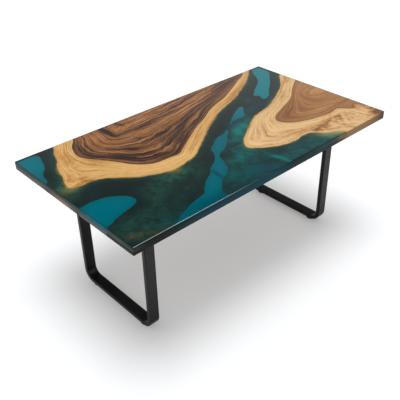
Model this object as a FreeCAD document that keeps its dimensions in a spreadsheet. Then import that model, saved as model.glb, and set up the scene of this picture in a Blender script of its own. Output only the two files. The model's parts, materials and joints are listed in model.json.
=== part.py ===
"""Resin river dining table: two live-edge slabs cast in resin on two bent steel leg frames.

Millimetres, +Z up.  The origin is on the floor, under the middle of the table top.
X runs along the table's length and Y across it, from the front edge to the back edge.
"""
import FreeCAD, Part
import math
import os
import Sketcher
from FreeCAD import Vector

DRIVING_SIZES = [
    # table top
    ("table_height", 765.0),
    ("top_length", 1800.0),
    ("top_width", 970.0),
    ("top_thickness", 45.0),
    ("edge_bevel", 2.0),
    ("ledge_height", 22.0),
    # bent leg frames
    ("leg_inset", 192.0),
    ("frame_width", 585.0),
    ("tube_width", 60.0),
    ("tube_thickness", 25.0),
    ("tube_wall", 2.0),
    ("tube_corner", 4.0),
    ("bend_inner_radius", 40.0),
    # plates welded across the frames, bolted to the top
    ("plate_width", 100.0),
    ("plate_thickness", 6.0),
    ("slot_clearance", 0.5),
    ("slot_travel", 7.0),
    ("bolt_from_edge", 18.0),
    ("bolt_from_post", 67.5),
    # M8 fasteners under the top
    ("bolt_diameter", 8.0),
    ("bolt_length", 22.0),
    ("bolt_head_diameter", 14.0),
    ("bolt_head_crown", 9.0),
    ("bolt_head_height", 4.4),
    ("bolt_socket_flats", 5.0),
    ("bolt_socket_depth", 2.6),
    ("washer_diameter", 17.0),
    ("washer_thickness", 1.6),
    ("washer_clearance", 0.4),
    ("insert_wall", 1.9),
    ("insert_length", 18.0),
    ("insert_pocket", 3.0),
    ("thread_clearance", 0.1),
    # levelling feet
    ("foot_from_bend", 17.5),
    ("base_diameter", 50.0),
    ("base_height", 7.0),
    ("base_rim_bevel", 1.5),
    ("socket_diameter", 15.0),
    ("socket_depth", 4.5),
    ("foot_play", 0.1),
    ("collar_flats", 13.0),
    ("collar_height", 3.2),
    ("collar_gap", 0.3),
    ("stem_diameter", 8.0),
    ("stem_headroom", 4.5),
    ("nut_wall", 1.45),
    ("nut_length", 17.0),
    ("nut_flange_lip", 2.5),
    ("nut_flange_thickness", 1.2),
]

# Outlines of the wood, in shares of half the top's length and half its width.  They run past the
# edges of the top, which trims them.  Each outline is a chain of runs that share their end points:
# two points make a straight run, more points a smooth curve.
LEFT_LIVE_EDGE = [
    [
        (-0.74, 1.08), (-0.781, 0.903), (-0.833, 0.726), (-0.867, 0.546), (-0.892, 0.367), (-0.93, 0.237),
        (-0.92, 0.15), (-0.844, 0.12), (-0.77, 0.099), (-0.70, 0.01), (-0.614, -0.134), (-0.511, -0.231),
        (-0.422, -0.289), (-0.333, -0.264), (-0.23, -0.216), (-0.141, -0.107), (-0.044, 0.016),
        (0.074, 0.161), (0.178, 0.272), (0.281, 0.367), (0.392, 0.437), (0.497, 0.511), (0.608, 0.623),
        (0.719, 0.738), (0.822, 0.876), (0.897, 0.994), (0.95, 1.08),
    ],
    [(0.95, 1.08), (-0.74, 1.08)],
]
LEFT_LEDGE = [
    [(-0.885, 1.08), (-0.886, 0.82), (-0.91, 0.69), (-0.95, 0.54), (-0.985, 0.44), (-1.08, 0.36)],
    [(-1.08, 0.36), (-1.08, -0.20)],
    [
        (-1.08, -0.20), (-0.93, -0.19), (-0.83, -0.235), (-0.763, -0.33), (-0.752, -0.42), (-0.79, -0.50),
        (-0.88, -0.545), (-0.97, -0.60), (-1.08, -0.63),
    ],
    [(-1.08, -0.63), (-1.08, -1.08)],
    [(-1.08, -1.08), (-0.76, -1.08)],
    [
        (-0.76, -1.08), (-0.70, -0.96), (-0.60, -0.88), (-0.50, -0.83), (-0.42, -0.74), (-0.27, -0.53),
        (-0.19, -0.41), (-0.125, -0.26), (-0.03, -0.11), (0.09, 0.0), (0.19, 0.08), (0.29, 0.185),
        (0.41, 0.275), (0.52, 0.36), (0.60, 0.42), (0.69, 0.53), (0.79, 0.645), (0.845, 0.80),
        (0.90, 0.93), (0.97, 1.08),
    ],
    [(0.97, 1.08), (-0.885, 1.08)],
]
RIGHT_LIVE_EDGE = [
    [
        (1.08, 0.70), (0.963, 0.56), (0.85, 0.36), (0.733, 0.223), (0.608, 0.107), (0.511, 0.037),
        (0.39, -0.01), (0.275, -0.113), (0.17, -0.237), (0.08, -0.355), (0.044, -0.478), (0.089, -0.581),
        (0.17, -0.676), (0.26, -0.732), (0.363, -0.726), (0.444, -0.746), (0.489, -0.841), (0.57, -0.924),
        (0.66, -1.08),
    ],
    [(0.66, -1.08), (1.08, -1.08)],
    [(1.08, -1.08), (1.08, 0.70)],
]
RIGHT_LEDGE = [
    [
        (-0.386, -1.08), (-0.386, -0.93), (-0.34, -0.81), (-0.23, -0.66), (-0.165, -0.54), (-0.13, -0.41),
        (-0.06, -0.31), (0.03, -0.19), (0.125, -0.06), (0.22, 0.01), (0.33, 0.07), (0.385, 0.16),
        (0.43, 0.235), (0.51, 0.25), (0.60, 0.215), (0.68, 0.27), (0.78, 0.43), (0.87, 0.56),
        (0.95, 0.72), (1.08, 0.86),
    ],
    [(1.08, 0.86), (1.08, -1.08)],
    [(1.08, -1.08), (-0.386, -1.08)],
]

# Levels and places that several pieces share, as expressions on the sheet.
TOP_UNDERSIDE = "(Sizes.table_height - Sizes.top_thickness)"
PLATE_UNDERSIDE = f"({TOP_UNDERSIDE} - Sizes.plate_thickness)"
WASHER_UNDERSIDE = f"({PLATE_UNDERSIDE} - Sizes.washer_thickness)"
HEAD_UNDERSIDE = f"({WASHER_UNDERSIDE} - Sizes.bolt_head_height)"
COLLAR_BOTTOM = "(Sizes.base_height + Sizes.collar_gap)"
FLANGE_BOTTOM = f"({COLLAR_BOTTOM} + Sizes.collar_height + Sizes.collar_gap)"
RAIL_BOTTOM = f"({FLANGE_BOTTOM} + Sizes.nut_flange_thickness)"
FRAME_HEIGHT = f"({PLATE_UNDERSIDE} - {RAIL_BOTTOM})"
BEND_RADIUS = "(Sizes.bend_inner_radius + Sizes.tube_thickness / 2)"
HALF_SPAN = "((Sizes.frame_width - Sizes.tube_thickness) / 2)"
LEG_OFFSET = "(Sizes.top_length / 2 - Sizes.leg_inset - Sizes.tube_width / 2)"
POST_INNER = "(Sizes.frame_width / 2 - Sizes.tube_thickness)"
FOOT_OFFSET = f"({POST_INNER} - Sizes.bend_inner_radius - Sizes.foot_from_bend)"
BOLT_COLUMN = "(Sizes.plate_width / 2 - Sizes.bolt_from_edge)"
BOLT_ROW = f"({POST_INNER} - Sizes.bolt_from_post)"
SLOT_WIDTH = "(Sizes.bolt_diameter + 2 * Sizes.slot_clearance)"
BOLT_REACH = "(Sizes.bolt_length - Sizes.washer_thickness - Sizes.plate_thickness)"
INSERT_HOLE_DEPTH = f"(max(Sizes.insert_length; {BOLT_REACH}) + Sizes.insert_pocket)"
THREAD_BORE = "(Sizes.bolt_diameter + 2 * Sizes.thread_clearance)"
WASHER_BORE = "(Sizes.bolt_diameter + 2 * Sizes.washer_clearance)"
INSERT_DIAMETER = f"({THREAD_BORE} + 2 * Sizes.insert_wall)"
STEM_BORE = "(Sizes.stem_diameter + Sizes.foot_play)"
NUT_DIAMETER = f"({STEM_BORE} + 2 * Sizes.nut_wall)"
NUT_FLANGE_DIAMETER = f"({NUT_DIAMETER} + 2 * Sizes.nut_flange_lip)"
STEM_TOP = f"({RAIL_BOTTOM} + Sizes.tube_thickness - Sizes.tube_wall - Sizes.stem_headroom)"

QUARTER_TURN = math.pi / 2
LEG_SIDES = [("left", -1), ("right", 1)]
FRONT_AND_REAR = [("front", -1), ("rear", 1)]
BOLT_PLACES = [(column, row) for column in (-1, 1) for row in (-1, 0, 1)]

doc = FreeCAD.newDocument("resin_dining_table")
sheet = doc.addObject("Spreadsheet::Sheet", "Sizes")
sub_parts = []


def fill_sheet():
    """Write each driving size into its own cell, under its own alias."""
    for row, (alias, value) in enumerate(DRIVING_SIZES, start=1):
        sheet.set(f"A{row}", alias)
        sheet.set(f"B{row}", str(value))
        sheet.setAlias(f"B{row}", alias)
    doc.recompute()


def value(expression):
    """Number that an expression on the sheet has now."""
    return float(sheet.evalExpression(expression.replace("Sizes.", "")))


def bind(item, **sizes):
    """Tie properties of an object to expressions on the sheet."""
    for name, expression in sizes.items():
        item.setExpression(name, expression)


def place(item, along="0", across="0", up="0"):
    """Tie an object's position to expressions on the sheet."""
    item.setExpression("Placement.Base.x", along)
    item.setExpression("Placement.Base.y", across)
    item.setExpression("Placement.Base.z", up)


def keep(item, label):
    """Name an object as a sub-part of the table."""
    item.Label = label
    sub_parts.append(item)
    return item


def cylinder(name, diameter, height, along="0", across="0", up="0"):
    """Upright cylinder standing on the given point."""
    item = doc.addObject("Part::Cylinder", name)
    bind(item, Radius=f"({diameter}) / 2", Height=height)
    place(item, along, across, up)
    return item


def cone(name, bottom_diameter, top_diameter, height, along="0", across="0", up="0"):
    """Upright cone frustum standing on the given point."""
    item = doc.addObject("Part::Cone", name)
    bind(item, Radius1=f"({bottom_diameter}) / 2", Radius2=f"({top_diameter}) / 2", Height=height)
    place(item, along, across, up)
    return item


def hexagon(name, flats, height, along="0", across="0", up="0"):
    """Upright hexagonal prism, sized across its flats."""
    item = doc.addObject("Part::Prism", name)
    item.Polygon = 6
    bind(item, Circumradius=f"({flats}) / 2 / cos(30 deg)", Height=height)
    place(item, along, across, up)
    return item


def group(name, items):
    """Several separate solids held together as one object."""
    item = doc.addObject("Part::Compound", name)
    item.Links = items
    return item


def cut(name, base, tool):
    """Base with the tool taken away."""
    item = doc.addObject("Part::Cut", name)
    item.Base = base
    item.Tool = tool
    return item


def fuse(name, items):
    """Overlapping or touching solids joined into one."""
    item = doc.addObject("Part::MultiFuse", name)
    item.Shapes = items
    item.Refine = True
    return item


def new_body(name):
    """Empty body at the document's root."""
    return doc.addObject("PartDesign::Body", name)


def new_sketch(body, name, role):
    """Sketch on one of the body's own origin planes."""
    sketch = body.newObject("Sketcher::SketchObject", name)
    plane = next(item for item in body.Origin.OriginFeatures if item.Role == role)
    sketch.AttachmentSupport = [(plane, "")]
    sketch.MapMode = "FlatFace"
    return sketch


def hold(sketch, kind, *where_and_value, expression=None):
    """Add a constraint to a sketch, and tie its value to the sheet."""
    index = sketch.addConstraint(Sketcher.Constraint(kind, *where_and_value))
    if expression:
        sketch.setExpression(f"Constraints[{index}]", expression)


def rounded_rectangle(sketch, side_x, side_y, corner, middle):
    """Rectangle with round corners, from the expressions of its sides, corner radius and centre."""
    left, right = value(f"-({side_x}) / 2"), value(f"({side_x}) / 2")
    low, high = value(f"{middle} - ({side_y}) / 2"), value(f"{middle} + ({side_y}) / 2")
    radius = value(corner)
    first = sketch.GeometryCount
    runs = [
        ((left + radius, low), (right - radius, low)),
        ((right, low + radius), (right, high - radius)),
        ((right - radius, high), (left + radius, high)),
        ((left, high - radius), (left, low + radius)),
    ]
    for start, end in runs:
        sketch.addGeometry(Part.LineSegment(Vector(*start), Vector(*end)))
    corners = [
        ((right - radius, low + radius), -1),
        ((right - radius, high - radius), 0),
        ((left + radius, high - radius), 1),
        ((left + radius, low + radius), 2),
    ]
    for (x, y), turn in corners:
        circle = Part.Circle(Vector(x, y), Vector(0, 0, 1), radius)
        sketch.addGeometry(Part.ArcOfCircle(circle, turn * QUARTER_TURN, (turn + 1) * QUARTER_TURN))
    for number in range(4):
        line, arc = first + number, first + 4 + number
        following = first + (number + 1) % 4
        hold(sketch, "Tangent", line, 2, arc, 1)
        hold(sketch, "Tangent", arc, 2, following, 1)
        hold(sketch, "Horizontal" if number % 2 == 0 else "Vertical", line)
        if number:
            hold(sketch, "Equal", first + 4, arc)
    hold(sketch, "Radius", first + 4, radius, expression=corner)
    hold(sketch, "DistanceX", first + 3, 1, first + 1, 1, right - left, expression=side_x)
    hold(sketch, "DistanceY", first, 1, first + 2, 1, high - low, expression=side_y)
    hold(sketch, "DistanceX", first + 3, 1, -1, 1, right, expression=f"({side_x}) / 2")
    hold(sketch, "DistanceY", first, 1, -1, 1, -low, expression=f"({side_y}) / 2 - ({middle})")


def draw_outline(sketch, runs):
    """Draw a chain of straight runs and smooth curves at the top's present size."""
    half_length = value("Sizes.top_length / 2")
    half_width = value("Sizes.top_width / 2")
    for run in runs:
        points = [Vector(share_x * half_length, share_y * half_width, 0) for share_x, share_y in run]
        if len(points) == 2:
            sketch.addGeometry(Part.LineSegment(*points))
        else:
            curve = Part.BSplineCurve()
            curve.interpolate(points)
            sketch.addGeometry(curve)


def pad(body, sketch, name, length):
    """Pad of a sketch, as long as the expression says."""
    feature = body.newObject("PartDesign::Pad", name)
    feature.Profile = sketch
    bind(feature, Length=length)
    return feature


def bolt_place(side, column, row):
    """Expressions of one plate bolt's position."""
    return f"{side} * {LEG_OFFSET} + {column} * {BOLT_COLUMN}", f"{row} * {BOLT_ROW}"


def build_top_blank():
    """Bevelled slab of the whole top, drilled from below for the threaded inserts."""
    board = doc.addObject("Part::Box", "top_board")
    bind(board, Length="Sizes.top_length", Width="Sizes.top_width", Height="Sizes.top_thickness")
    place(board, "-Sizes.top_length / 2", "-Sizes.top_width / 2", TOP_UNDERSIDE)
    doc.recompute()
    bevelled = doc.addObject("Part::Chamfer", "bevelled_board")
    bevelled.Base = board
    bevel = value("Sizes.edge_bevel")
    bevelled.Edges = [(number, bevel, bevel) for number in range(1, len(board.Shape.Edges) + 1)]
    holes = []
    for name, side in LEG_SIDES:
        for number, (column, row) in enumerate(BOLT_PLACES, start=1):
            along, across = bolt_place(side, column, row)
            hole = f"{name}_insert_hole_{number}"
            holes.append(cylinder(hole, INSERT_DIAMETER, INSERT_HOLE_DEPTH, along, across, TOP_UNDERSIDE))
    return cut("drilled_board", bevelled, group("insert_holes", holes))


def build_wood(label, live_edge, ledge, blank):
    """One slab: full thickness inside its live edge, and a lower ledge that runs on under the resin."""
    body = new_body(f"{label}_timber")
    lower = new_sketch(body, f"{label}_ledge_outline", "XY_Plane")
    draw_outline(lower, ledge)
    pad(body, lower, f"{label}_ledge", "Sizes.ledge_height")
    upper = new_sketch(body, f"{label}_live_edge", "XY_Plane")
    draw_outline(upper, live_edge)
    pad(body, upper, f"{label}_full_depth", "Sizes.top_thickness")
    place(body, up=TOP_UNDERSIDE)
    slab = doc.addObject("Part::Common", label)
    slab.Base = body
    slab.Tool = blank
    return keep(slab, label)


def build_table_top():
    """The two wood slabs and the one resin casting round them."""
    blank = build_top_blank()
    left = build_wood("left_slab", LEFT_LIVE_EDGE, LEFT_LEDGE, blank)
    right = build_wood("right_slab", RIGHT_LIVE_EDGE, RIGHT_LEDGE, blank)
    keep(cut("river_resin", blank, group("both_slabs", [left, right])), "river_resin")


def build_leg_frame(name, side):
    """Rectangular tube bent to a U, drilled under its rail for the two foot nuts."""
    body = new_body(f"{name}_leg_frame")
    span, bend, height = value(HALF_SPAN), value(BEND_RADIUS), value(FRAME_HEIGHT)
    drop = height - value("Sizes.tube_thickness / 2")
    path = new_sketch(body, f"{name}_bend_line", "YZ_Plane")
    knees = [
        (-span, 0), (-span, bend - drop), (bend - span, -drop),
        (span - bend, -drop), (span, bend - drop), (span, 0),
    ]
    path.addGeometry(Part.LineSegment(Vector(*knees[0]), Vector(*knees[1])))
    left_circle = Part.Circle(Vector(bend - span, bend - drop), Vector(0, 0, 1), bend)
    path.addGeometry(Part.ArcOfCircle(left_circle, 2 * QUARTER_TURN, 3 * QUARTER_TURN))
    path.addGeometry(Part.LineSegment(Vector(*knees[2]), Vector(*knees[3])))
    right_circle = Part.Circle(Vector(span - bend, bend - drop), Vector(0, 0, 1), bend)
    path.addGeometry(Part.ArcOfCircle(right_circle, 3 * QUARTER_TURN, 4 * QUARTER_TURN))
    path.addGeometry(Part.LineSegment(Vector(*knees[4]), Vector(*knees[5])))
    for first in range(4):
        hold(path, "Tangent", first, 2, first + 1, 1)
    for post in (0, 4):
        hold(path, "Vertical", post)
    hold(path, "Horizontal", 2)
    hold(path, "Equal", 1, 3)
    hold(path, "Radius", 1, bend, expression=BEND_RADIUS)
    hold(path, "DistanceX", 0, 1, -1, 1, span, expression=HALF_SPAN)
    hold(path, "DistanceX", -1, 1, 4, 2, span, expression=HALF_SPAN)
    hold(path, "DistanceY", 0, 1, -1, 1, 0)
    hold(path, "DistanceY", 4, 2, -1, 1, 0)
    hold(path, "DistanceY", 2, 1, -1, 1, drop, expression=f"{FRAME_HEIGHT} - Sizes.tube_thickness / 2")

    section = new_sketch(body, f"{name}_tube_section", "XY_Plane")
    middle = f"-{HALF_SPAN}"
    for inset in ("0", "Sizes.tube_wall"):
        side_x = f"Sizes.tube_width - 2 * {inset}"
        side_y = f"Sizes.tube_thickness - 2 * {inset}"
        corner = f"Sizes.tube_corner - {inset}"
        rounded_rectangle(section, side_x, side_y, corner, middle)
    doc.recompute()
    tube = body.newObject("PartDesign::AdditivePipe", f"{name}_bent_tube")
    tube.Profile = section
    tube.Spine = (path, [f"Edge{number}" for number in range(1, 6)])
    doc.recompute()

    holes = new_sketch(body, f"{name}_nut_holes", "XY_Plane")
    bind(holes, **{".AttachmentOffset.Base.z": f"-{FRAME_HEIGHT}"})
    for row, (_, end) in enumerate(FRONT_AND_REAR):
        across = end * value(FOOT_OFFSET)
        radius = value(NUT_DIAMETER) / 2
        holes.addGeometry(Part.Circle(Vector(0, across), Vector(0, 0, 1), radius))
        hold(holes, "Diameter", row, 2 * radius, expression=NUT_DIAMETER)
        hold(holes, "PointOnObject", row, 3, -2)
        hold(holes, "DistanceY", -1, 1, row, 3, across, expression=f"{end} * {FOOT_OFFSET}")
    doc.recompute()
    solid_volume = body.Shape.Volume
    drill = body.newObject("PartDesign::Pocket", f"{name}_nut_drilling")
    drill.Profile = holes
    drill.Reversed = True
    bind(drill, Length="Sizes.tube_wall")
    place(body, f"{side} * {LEG_OFFSET}", "0", PLATE_UNDERSIDE)
    doc.recompute()
    if body.Shape.Volume >= solid_volume:
        raise RuntimeError(f"{name} leg frame: the nut holes cut nothing")
    keep(body, f"{name}_leg_frame")


def build_top_plate(name, side):
    """Flat bar across the top of a frame, slotted so that the wood can move."""
    bar = doc.addObject("Part::Box", f"{name}_bar")
    bind(bar, Length="Sizes.plate_width", Width="Sizes.frame_width", Height="Sizes.plate_thickness")
    place(bar, f"{side} * {LEG_OFFSET} - Sizes.plate_width / 2", "-Sizes.frame_width / 2", PLATE_UNDERSIDE)
    slots = []
    for number, (column, row) in enumerate(BOLT_PLACES, start=1):
        along, across = bolt_place(side, column, row)
        middle = doc.addObject("Part::Box", f"{name}_slot_{number}")
        bind(middle, Length=SLOT_WIDTH, Width="Sizes.slot_travel", Height="Sizes.plate_thickness")
        place(middle, f"{along} - {SLOT_WIDTH} / 2", f"{across} - Sizes.slot_travel / 2", PLATE_UNDERSIDE)
        ends = [middle]
        for end_name, end in FRONT_AND_REAR:
            end_across = f"{across} + {end} * Sizes.slot_travel / 2"
            end_label = f"{name}_slot_{number}_{end_name}_end"
            ends.append(
                cylinder(end_label, SLOT_WIDTH, "Sizes.plate_thickness", along, end_across, PLATE_UNDERSIDE)
            )
        slots.append(fuse(f"{name}_slot_{number}_shape", ends))
    keep(cut(f"{name}_top_plate", bar, group(f"{name}_slots", slots)), f"{name}_top_plate")


def build_plate_fasteners(name, side):
    """Button-head bolts, washers and threaded inserts of one plate, each kind as one group."""
    heads, sockets, washers, washer_holes, inserts, threads = [], [], [], [], [], []
    for number, (column, row) in enumerate(BOLT_PLACES, start=1):
        spot = bolt_place(side, column, row)
        tag = f"{name}_{number}"
        head = cone(
            f"{tag}_head", "Sizes.bolt_head_crown", "Sizes.bolt_head_diameter", "Sizes.bolt_head_height",
            *spot, HEAD_UNDERSIDE,
        )
        shank = cylinder(f"{tag}_shank", "Sizes.bolt_diameter", "Sizes.bolt_length", *spot, WASHER_UNDERSIDE)
        heads.append(fuse(f"{tag}_bolt_blank", [head, shank]))
        sockets.append(
            hexagon(f"{tag}_key", "Sizes.bolt_socket_flats", "Sizes.bolt_socket_depth", *spot, HEAD_UNDERSIDE)
        )
        ring = ("Sizes.washer_thickness", *spot, WASHER_UNDERSIDE)
        washers.append(cylinder(f"{tag}_washer_disc", "Sizes.washer_diameter", *ring))
        washer_holes.append(cylinder(f"{tag}_washer_bore", WASHER_BORE, *ring))
        sleeve = ("Sizes.insert_length", *spot, TOP_UNDERSIDE)
        inserts.append(cylinder(f"{tag}_insert_blank", INSERT_DIAMETER, *sleeve))
        threads.append(cylinder(f"{tag}_insert_thread", THREAD_BORE, *sleeve))
    kinds = [
        ("plate_bolts", heads, sockets),
        ("plate_washers", washers, washer_holes),
        ("threaded_inserts", inserts, threads),
    ]
    for kind, blanks, tools in kinds:
        label = f"{name}_{kind}"
        keep(cut(label, group(f"{label}_blanks", blanks), group(f"{label}_bores", tools)), label)


def build_rivet_nuts(name, side):
    """Two flanged blind rivet nuts set in the underside of a rail."""
    blanks, threads = [], []
    along = f"{side} * {LEG_OFFSET}"
    nut_height = "Sizes.nut_flange_thickness + Sizes.nut_length"
    for row_name, end in FRONT_AND_REAR:
        spot = (along, f"{end} * {FOOT_OFFSET}", FLANGE_BOTTOM)
        tag = f"{name}_{row_name}_nut"
        sleeve = cylinder(f"{tag}_sleeve", NUT_DIAMETER, nut_height, *spot)
        flange = cylinder(f"{tag}_flange", NUT_FLANGE_DIAMETER, "Sizes.nut_flange_thickness", *spot)
        blanks.append(fuse(f"{tag}_blank", [sleeve, flange]))
        threads.append(cylinder(f"{tag}_thread", STEM_BORE, nut_height, *spot))
    label = f"{name}_rivet_nuts"
    keep(cut(label, group(f"{label}_blanks", blanks), group(f"{label}_bores", threads)), label)


def build_foot(leg_name, side, row_name, end):
    """One levelling foot: a round base, and a threaded stem that turns in the base's socket."""
    tag = f"{leg_name}_{row_name}"
    along = f"{side} * {LEG_OFFSET}"
    across = f"{end} * {FOOT_OFFSET}"
    rim_height = "(Sizes.base_height - Sizes.base_rim_bevel)"
    disc = cylinder(f"{tag}_disc", "Sizes.base_diameter", rim_height, along, across)
    crown = "Sizes.base_diameter - 2 * Sizes.base_rim_bevel"
    shoulder = cone(
        f"{tag}_shoulder", "Sizes.base_diameter", crown, "Sizes.base_rim_bevel", along, across, rim_height
    )
    base_blank = fuse(f"{tag}_base_blank", [disc, shoulder])
    socket_floor = "(Sizes.base_height - Sizes.socket_depth)"
    socket = cylinder(
        f"{tag}_socket", "Sizes.socket_diameter", "Sizes.socket_depth", along, across, socket_floor
    )
    keep(cut(f"{tag}_foot_base", base_blank, socket), f"{tag}_foot_base")

    pivot_height = f"{COLLAR_BOTTOM} - {socket_floor}"
    pivot = cylinder(
        f"{tag}_pivot", "Sizes.socket_diameter - Sizes.foot_play", pivot_height, along, across, socket_floor
    )
    collar = hexagon(
        f"{tag}_collar", "Sizes.collar_flats", "Sizes.collar_height", along, across, COLLAR_BOTTOM
    )
    collar_top = f"({COLLAR_BOTTOM} + Sizes.collar_height)"
    thread = cylinder(
        f"{tag}_thread", "Sizes.stem_diameter", f"{STEM_TOP} - {collar_top}", along, across, collar_top
    )
    keep(fuse(f"{tag}_foot_stem", [pivot, collar, thread]), f"{tag}_foot_stem")


def check_document():
    """Stop if any object failed or any sub-part has no valid shape."""
    doc.recompute()
    for item in doc.Objects:
        if "Invalid" in item.State or "Error" in item.State:
            raise RuntimeError(f"{item.Label} failed to build")
    for item in sub_parts:
        if item.Shape.isNull() or not item.Shape.isValid():
            raise RuntimeError(f"{item.Label} has no valid shape")


def write_parts():
    """Write each sub-part to its own file."""
    os.makedirs("parts", exist_ok=True)
    for item in sub_parts:
        item.Shape.exportStep(f"parts/{item.Label}.step")
        box = item.Shape.BoundBox
        print(f"{item.Label}: {len(item.Shape.Solids)} solids, {item.Shape.Volume / 1000:.1f} cm3, "
              f"{box.XLength:.1f} x {box.YLength:.1f} x {box.ZLength:.1f} mm")


fill_sheet()
build_table_top()
for leg, direction in LEG_SIDES:
    build_leg_frame(leg, direction)
    build_top_plate(leg, direction)
    build_plate_fasteners(leg, direction)
    build_rivet_nuts(leg, direction)
    for row_label, row_end in FRONT_AND_REAR:
        build_foot(leg, direction, row_label, row_end)
check_document()
write_parts()
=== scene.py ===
"""Looks of a resin river dining table: two live-edge slabs in cast resin on bent steel legs.

Metres, +Z up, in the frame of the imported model.  Lines drawn on the table top are given in shares of
half its length and half its width, and are worked out from the frame.
"""
import json
import logging
import math
from dataclasses import dataclass, field, replace
from enum import Enum
from typing import Callable, Union

import bmesh
import bpy
import numpy as np
from mathutils import Matrix, Vector, noise
from mathutils.geometry import delaunay_2d_cdt


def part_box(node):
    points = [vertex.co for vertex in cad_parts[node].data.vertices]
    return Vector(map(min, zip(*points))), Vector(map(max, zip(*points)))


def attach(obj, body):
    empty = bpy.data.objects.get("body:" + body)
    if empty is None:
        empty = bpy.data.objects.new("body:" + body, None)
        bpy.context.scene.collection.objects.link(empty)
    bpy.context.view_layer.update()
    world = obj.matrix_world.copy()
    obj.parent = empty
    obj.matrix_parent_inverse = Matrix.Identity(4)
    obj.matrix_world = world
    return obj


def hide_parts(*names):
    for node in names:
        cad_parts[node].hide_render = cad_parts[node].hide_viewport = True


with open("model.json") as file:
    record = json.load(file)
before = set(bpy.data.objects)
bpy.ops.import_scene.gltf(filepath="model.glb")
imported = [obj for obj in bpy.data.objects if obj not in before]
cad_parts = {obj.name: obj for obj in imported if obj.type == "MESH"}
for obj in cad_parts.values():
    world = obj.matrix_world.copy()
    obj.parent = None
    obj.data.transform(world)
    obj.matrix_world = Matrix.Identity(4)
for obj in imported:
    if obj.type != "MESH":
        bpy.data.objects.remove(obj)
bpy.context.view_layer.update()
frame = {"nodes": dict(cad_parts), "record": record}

LOG = logging.getLogger("resin_table")
# Points closer than this are one point
MERGE = 1e-6
# Height of the slabs' lower ledge, which lies under the resin
LEDGE_HEIGHT = 0.742
# A face is level when its normal is upright to this share
LEVEL = 0.9
# The board's bevel lies this near its outer edge
EDGE_ROOM = 0.003
# Distances from the outer edge at which the painted shade on the bevelled edge starts and is full
ARRIS_SHADE_BAND = (0.005, 0.002)
# Makes a rounded distance the true one beside a straight line
ROUNDING = 0.98175
# Keeps the two noises of a live edge apart
NOISE_SHIFT = Vector((7.3, 3.1, 5.7))
# Refraction of the polish on wood and resin
POLISH_IOR = 1.5
Colour = tuple[float, float, float, float]
Number = Union[float, np.ndarray]
Point = Union[np.ndarray, Vector]
Socket = bpy.types.NodeSocket
Wire = Union[Socket, float, tuple]


class Slot(str, Enum):
    """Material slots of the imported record."""

    WALNUT = "walnut"
    RESIN = "teal_resin"
    STEEL = "black_steel"
    OXIDE = "black_oxide_steel"
    ZINC = "zinc_steel"
    NYLON = "black_nylon"


class Word(Enum):
    """A choice that node names spell out."""

    @property
    def word(self) -> str:
        """Name of the choice as it stands in node names."""
        return self.name.lower()


class Side(Word):
    """The two ends of the table, by the sign of X."""

    LEFT = -1
    RIGHT = 1


class Row(Word):
    """The two long sides of the table, by the sign of Y."""

    FRONT = -1
    REAR = 1


def paint(red: int, green: int, blue: int) -> Colour:
    """Turn an 8-bit screen colour into a linear one.

    Args:
        red: Red level, 0 to 255.
        green: Green level, 0 to 255.
        blue: Blue level, 0 to 255.

    Returns:
        The linear colour with full alpha.
    """
    shares = (level / 255 for level in (red, green, blue))
    linear = [s / 12.92 if s <= 0.04045 else ((s + 0.055) / 1.055) ** 2.4 for s in shares]
    return (linear[0], linear[1], linear[2], 1.0)


# Lines and patches drawn on the table top


@dataclass(frozen=True)
class Board:
    """Plan of the whole table top, read from the resin casting that reaches all its edges."""

    half_length: float
    half_width: float
    top: float

    @classmethod
    def from_frame(cls) -> "Board":
        """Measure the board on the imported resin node."""
        low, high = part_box("river_resin")
        return cls((high.x - low.x) / 2, (high.y - low.y) / 2, high.z)

    def place(self, shares: tuple[tuple[float, float], ...]) -> np.ndarray:
        """Turn shares of the half length and half width into metres."""
        return np.array(shares) * (self.half_length, self.half_width)

    def on_edge(self, x: Number, y: Number) -> Union[bool, np.ndarray]:
        """Tell whether places lie on the outer edge of the board, or on its bevel."""
        return (abs(x) > self.half_length - EDGE_ROOM) | (abs(y) > self.half_width - EDGE_ROOM)


def segment_distance(places: np.ndarray, path: np.ndarray) -> np.ndarray:
    """Measure how far each place lies from a polyline.

    Args:
        places: Points in plan, one a row.
        path: Corners of the polyline, one a row.

    Returns:
        The least distance of each point.
    """
    nearest = np.full(len(places), np.inf)
    for start, end in zip(path[:-1], path[1:]):
        run = end - start
        along = np.clip((places - start) @ run / max(run @ run, 1e-12), 0, 1)
        gap = places - start - along[:, None] * run
        nearest = np.minimum(nearest, np.einsum("ij,ij->i", gap, gap))
    return np.sqrt(nearest)


def inside(places: np.ndarray, loop: np.ndarray) -> np.ndarray:
    """Tell which places lie inside a closed loop.

    Args:
        places: Points in plan, one a row.
        loop: Corners of the loop, one a row, with the first not repeated.

    Returns:
        True for each point inside.
    """
    within = np.zeros(len(places), bool)
    x, y = places[:, 0], places[:, 1]
    for start, end in zip(loop, np.roll(loop, -1, axis=0)):
        if start[1] == end[1]:
            continue
        crosses = (start[1] > y) != (end[1] > y)
        reach = start[0] + (y - start[1]) * (end[0] - start[0]) / (end[1] - start[1])
        within ^= crosses & (x < reach)
    return within


def spaced(path: np.ndarray, step: float) -> np.ndarray:
    """Set points at even steps along a polyline.

    Args:
        path: Corners of the polyline, one a row.
        step: Distance between two points.

    Returns:
        The points, one a row.
    """
    runs = np.linalg.norm(np.diff(path, axis=0), axis=1)
    reach = np.concatenate([[0.0], np.cumsum(runs)])
    marks = np.linspace(0, reach[-1], max(2, round(reach[-1] / step)))
    return np.column_stack([np.interp(marks, reach, path[:, axis]) for axis in (0, 1)])


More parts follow.
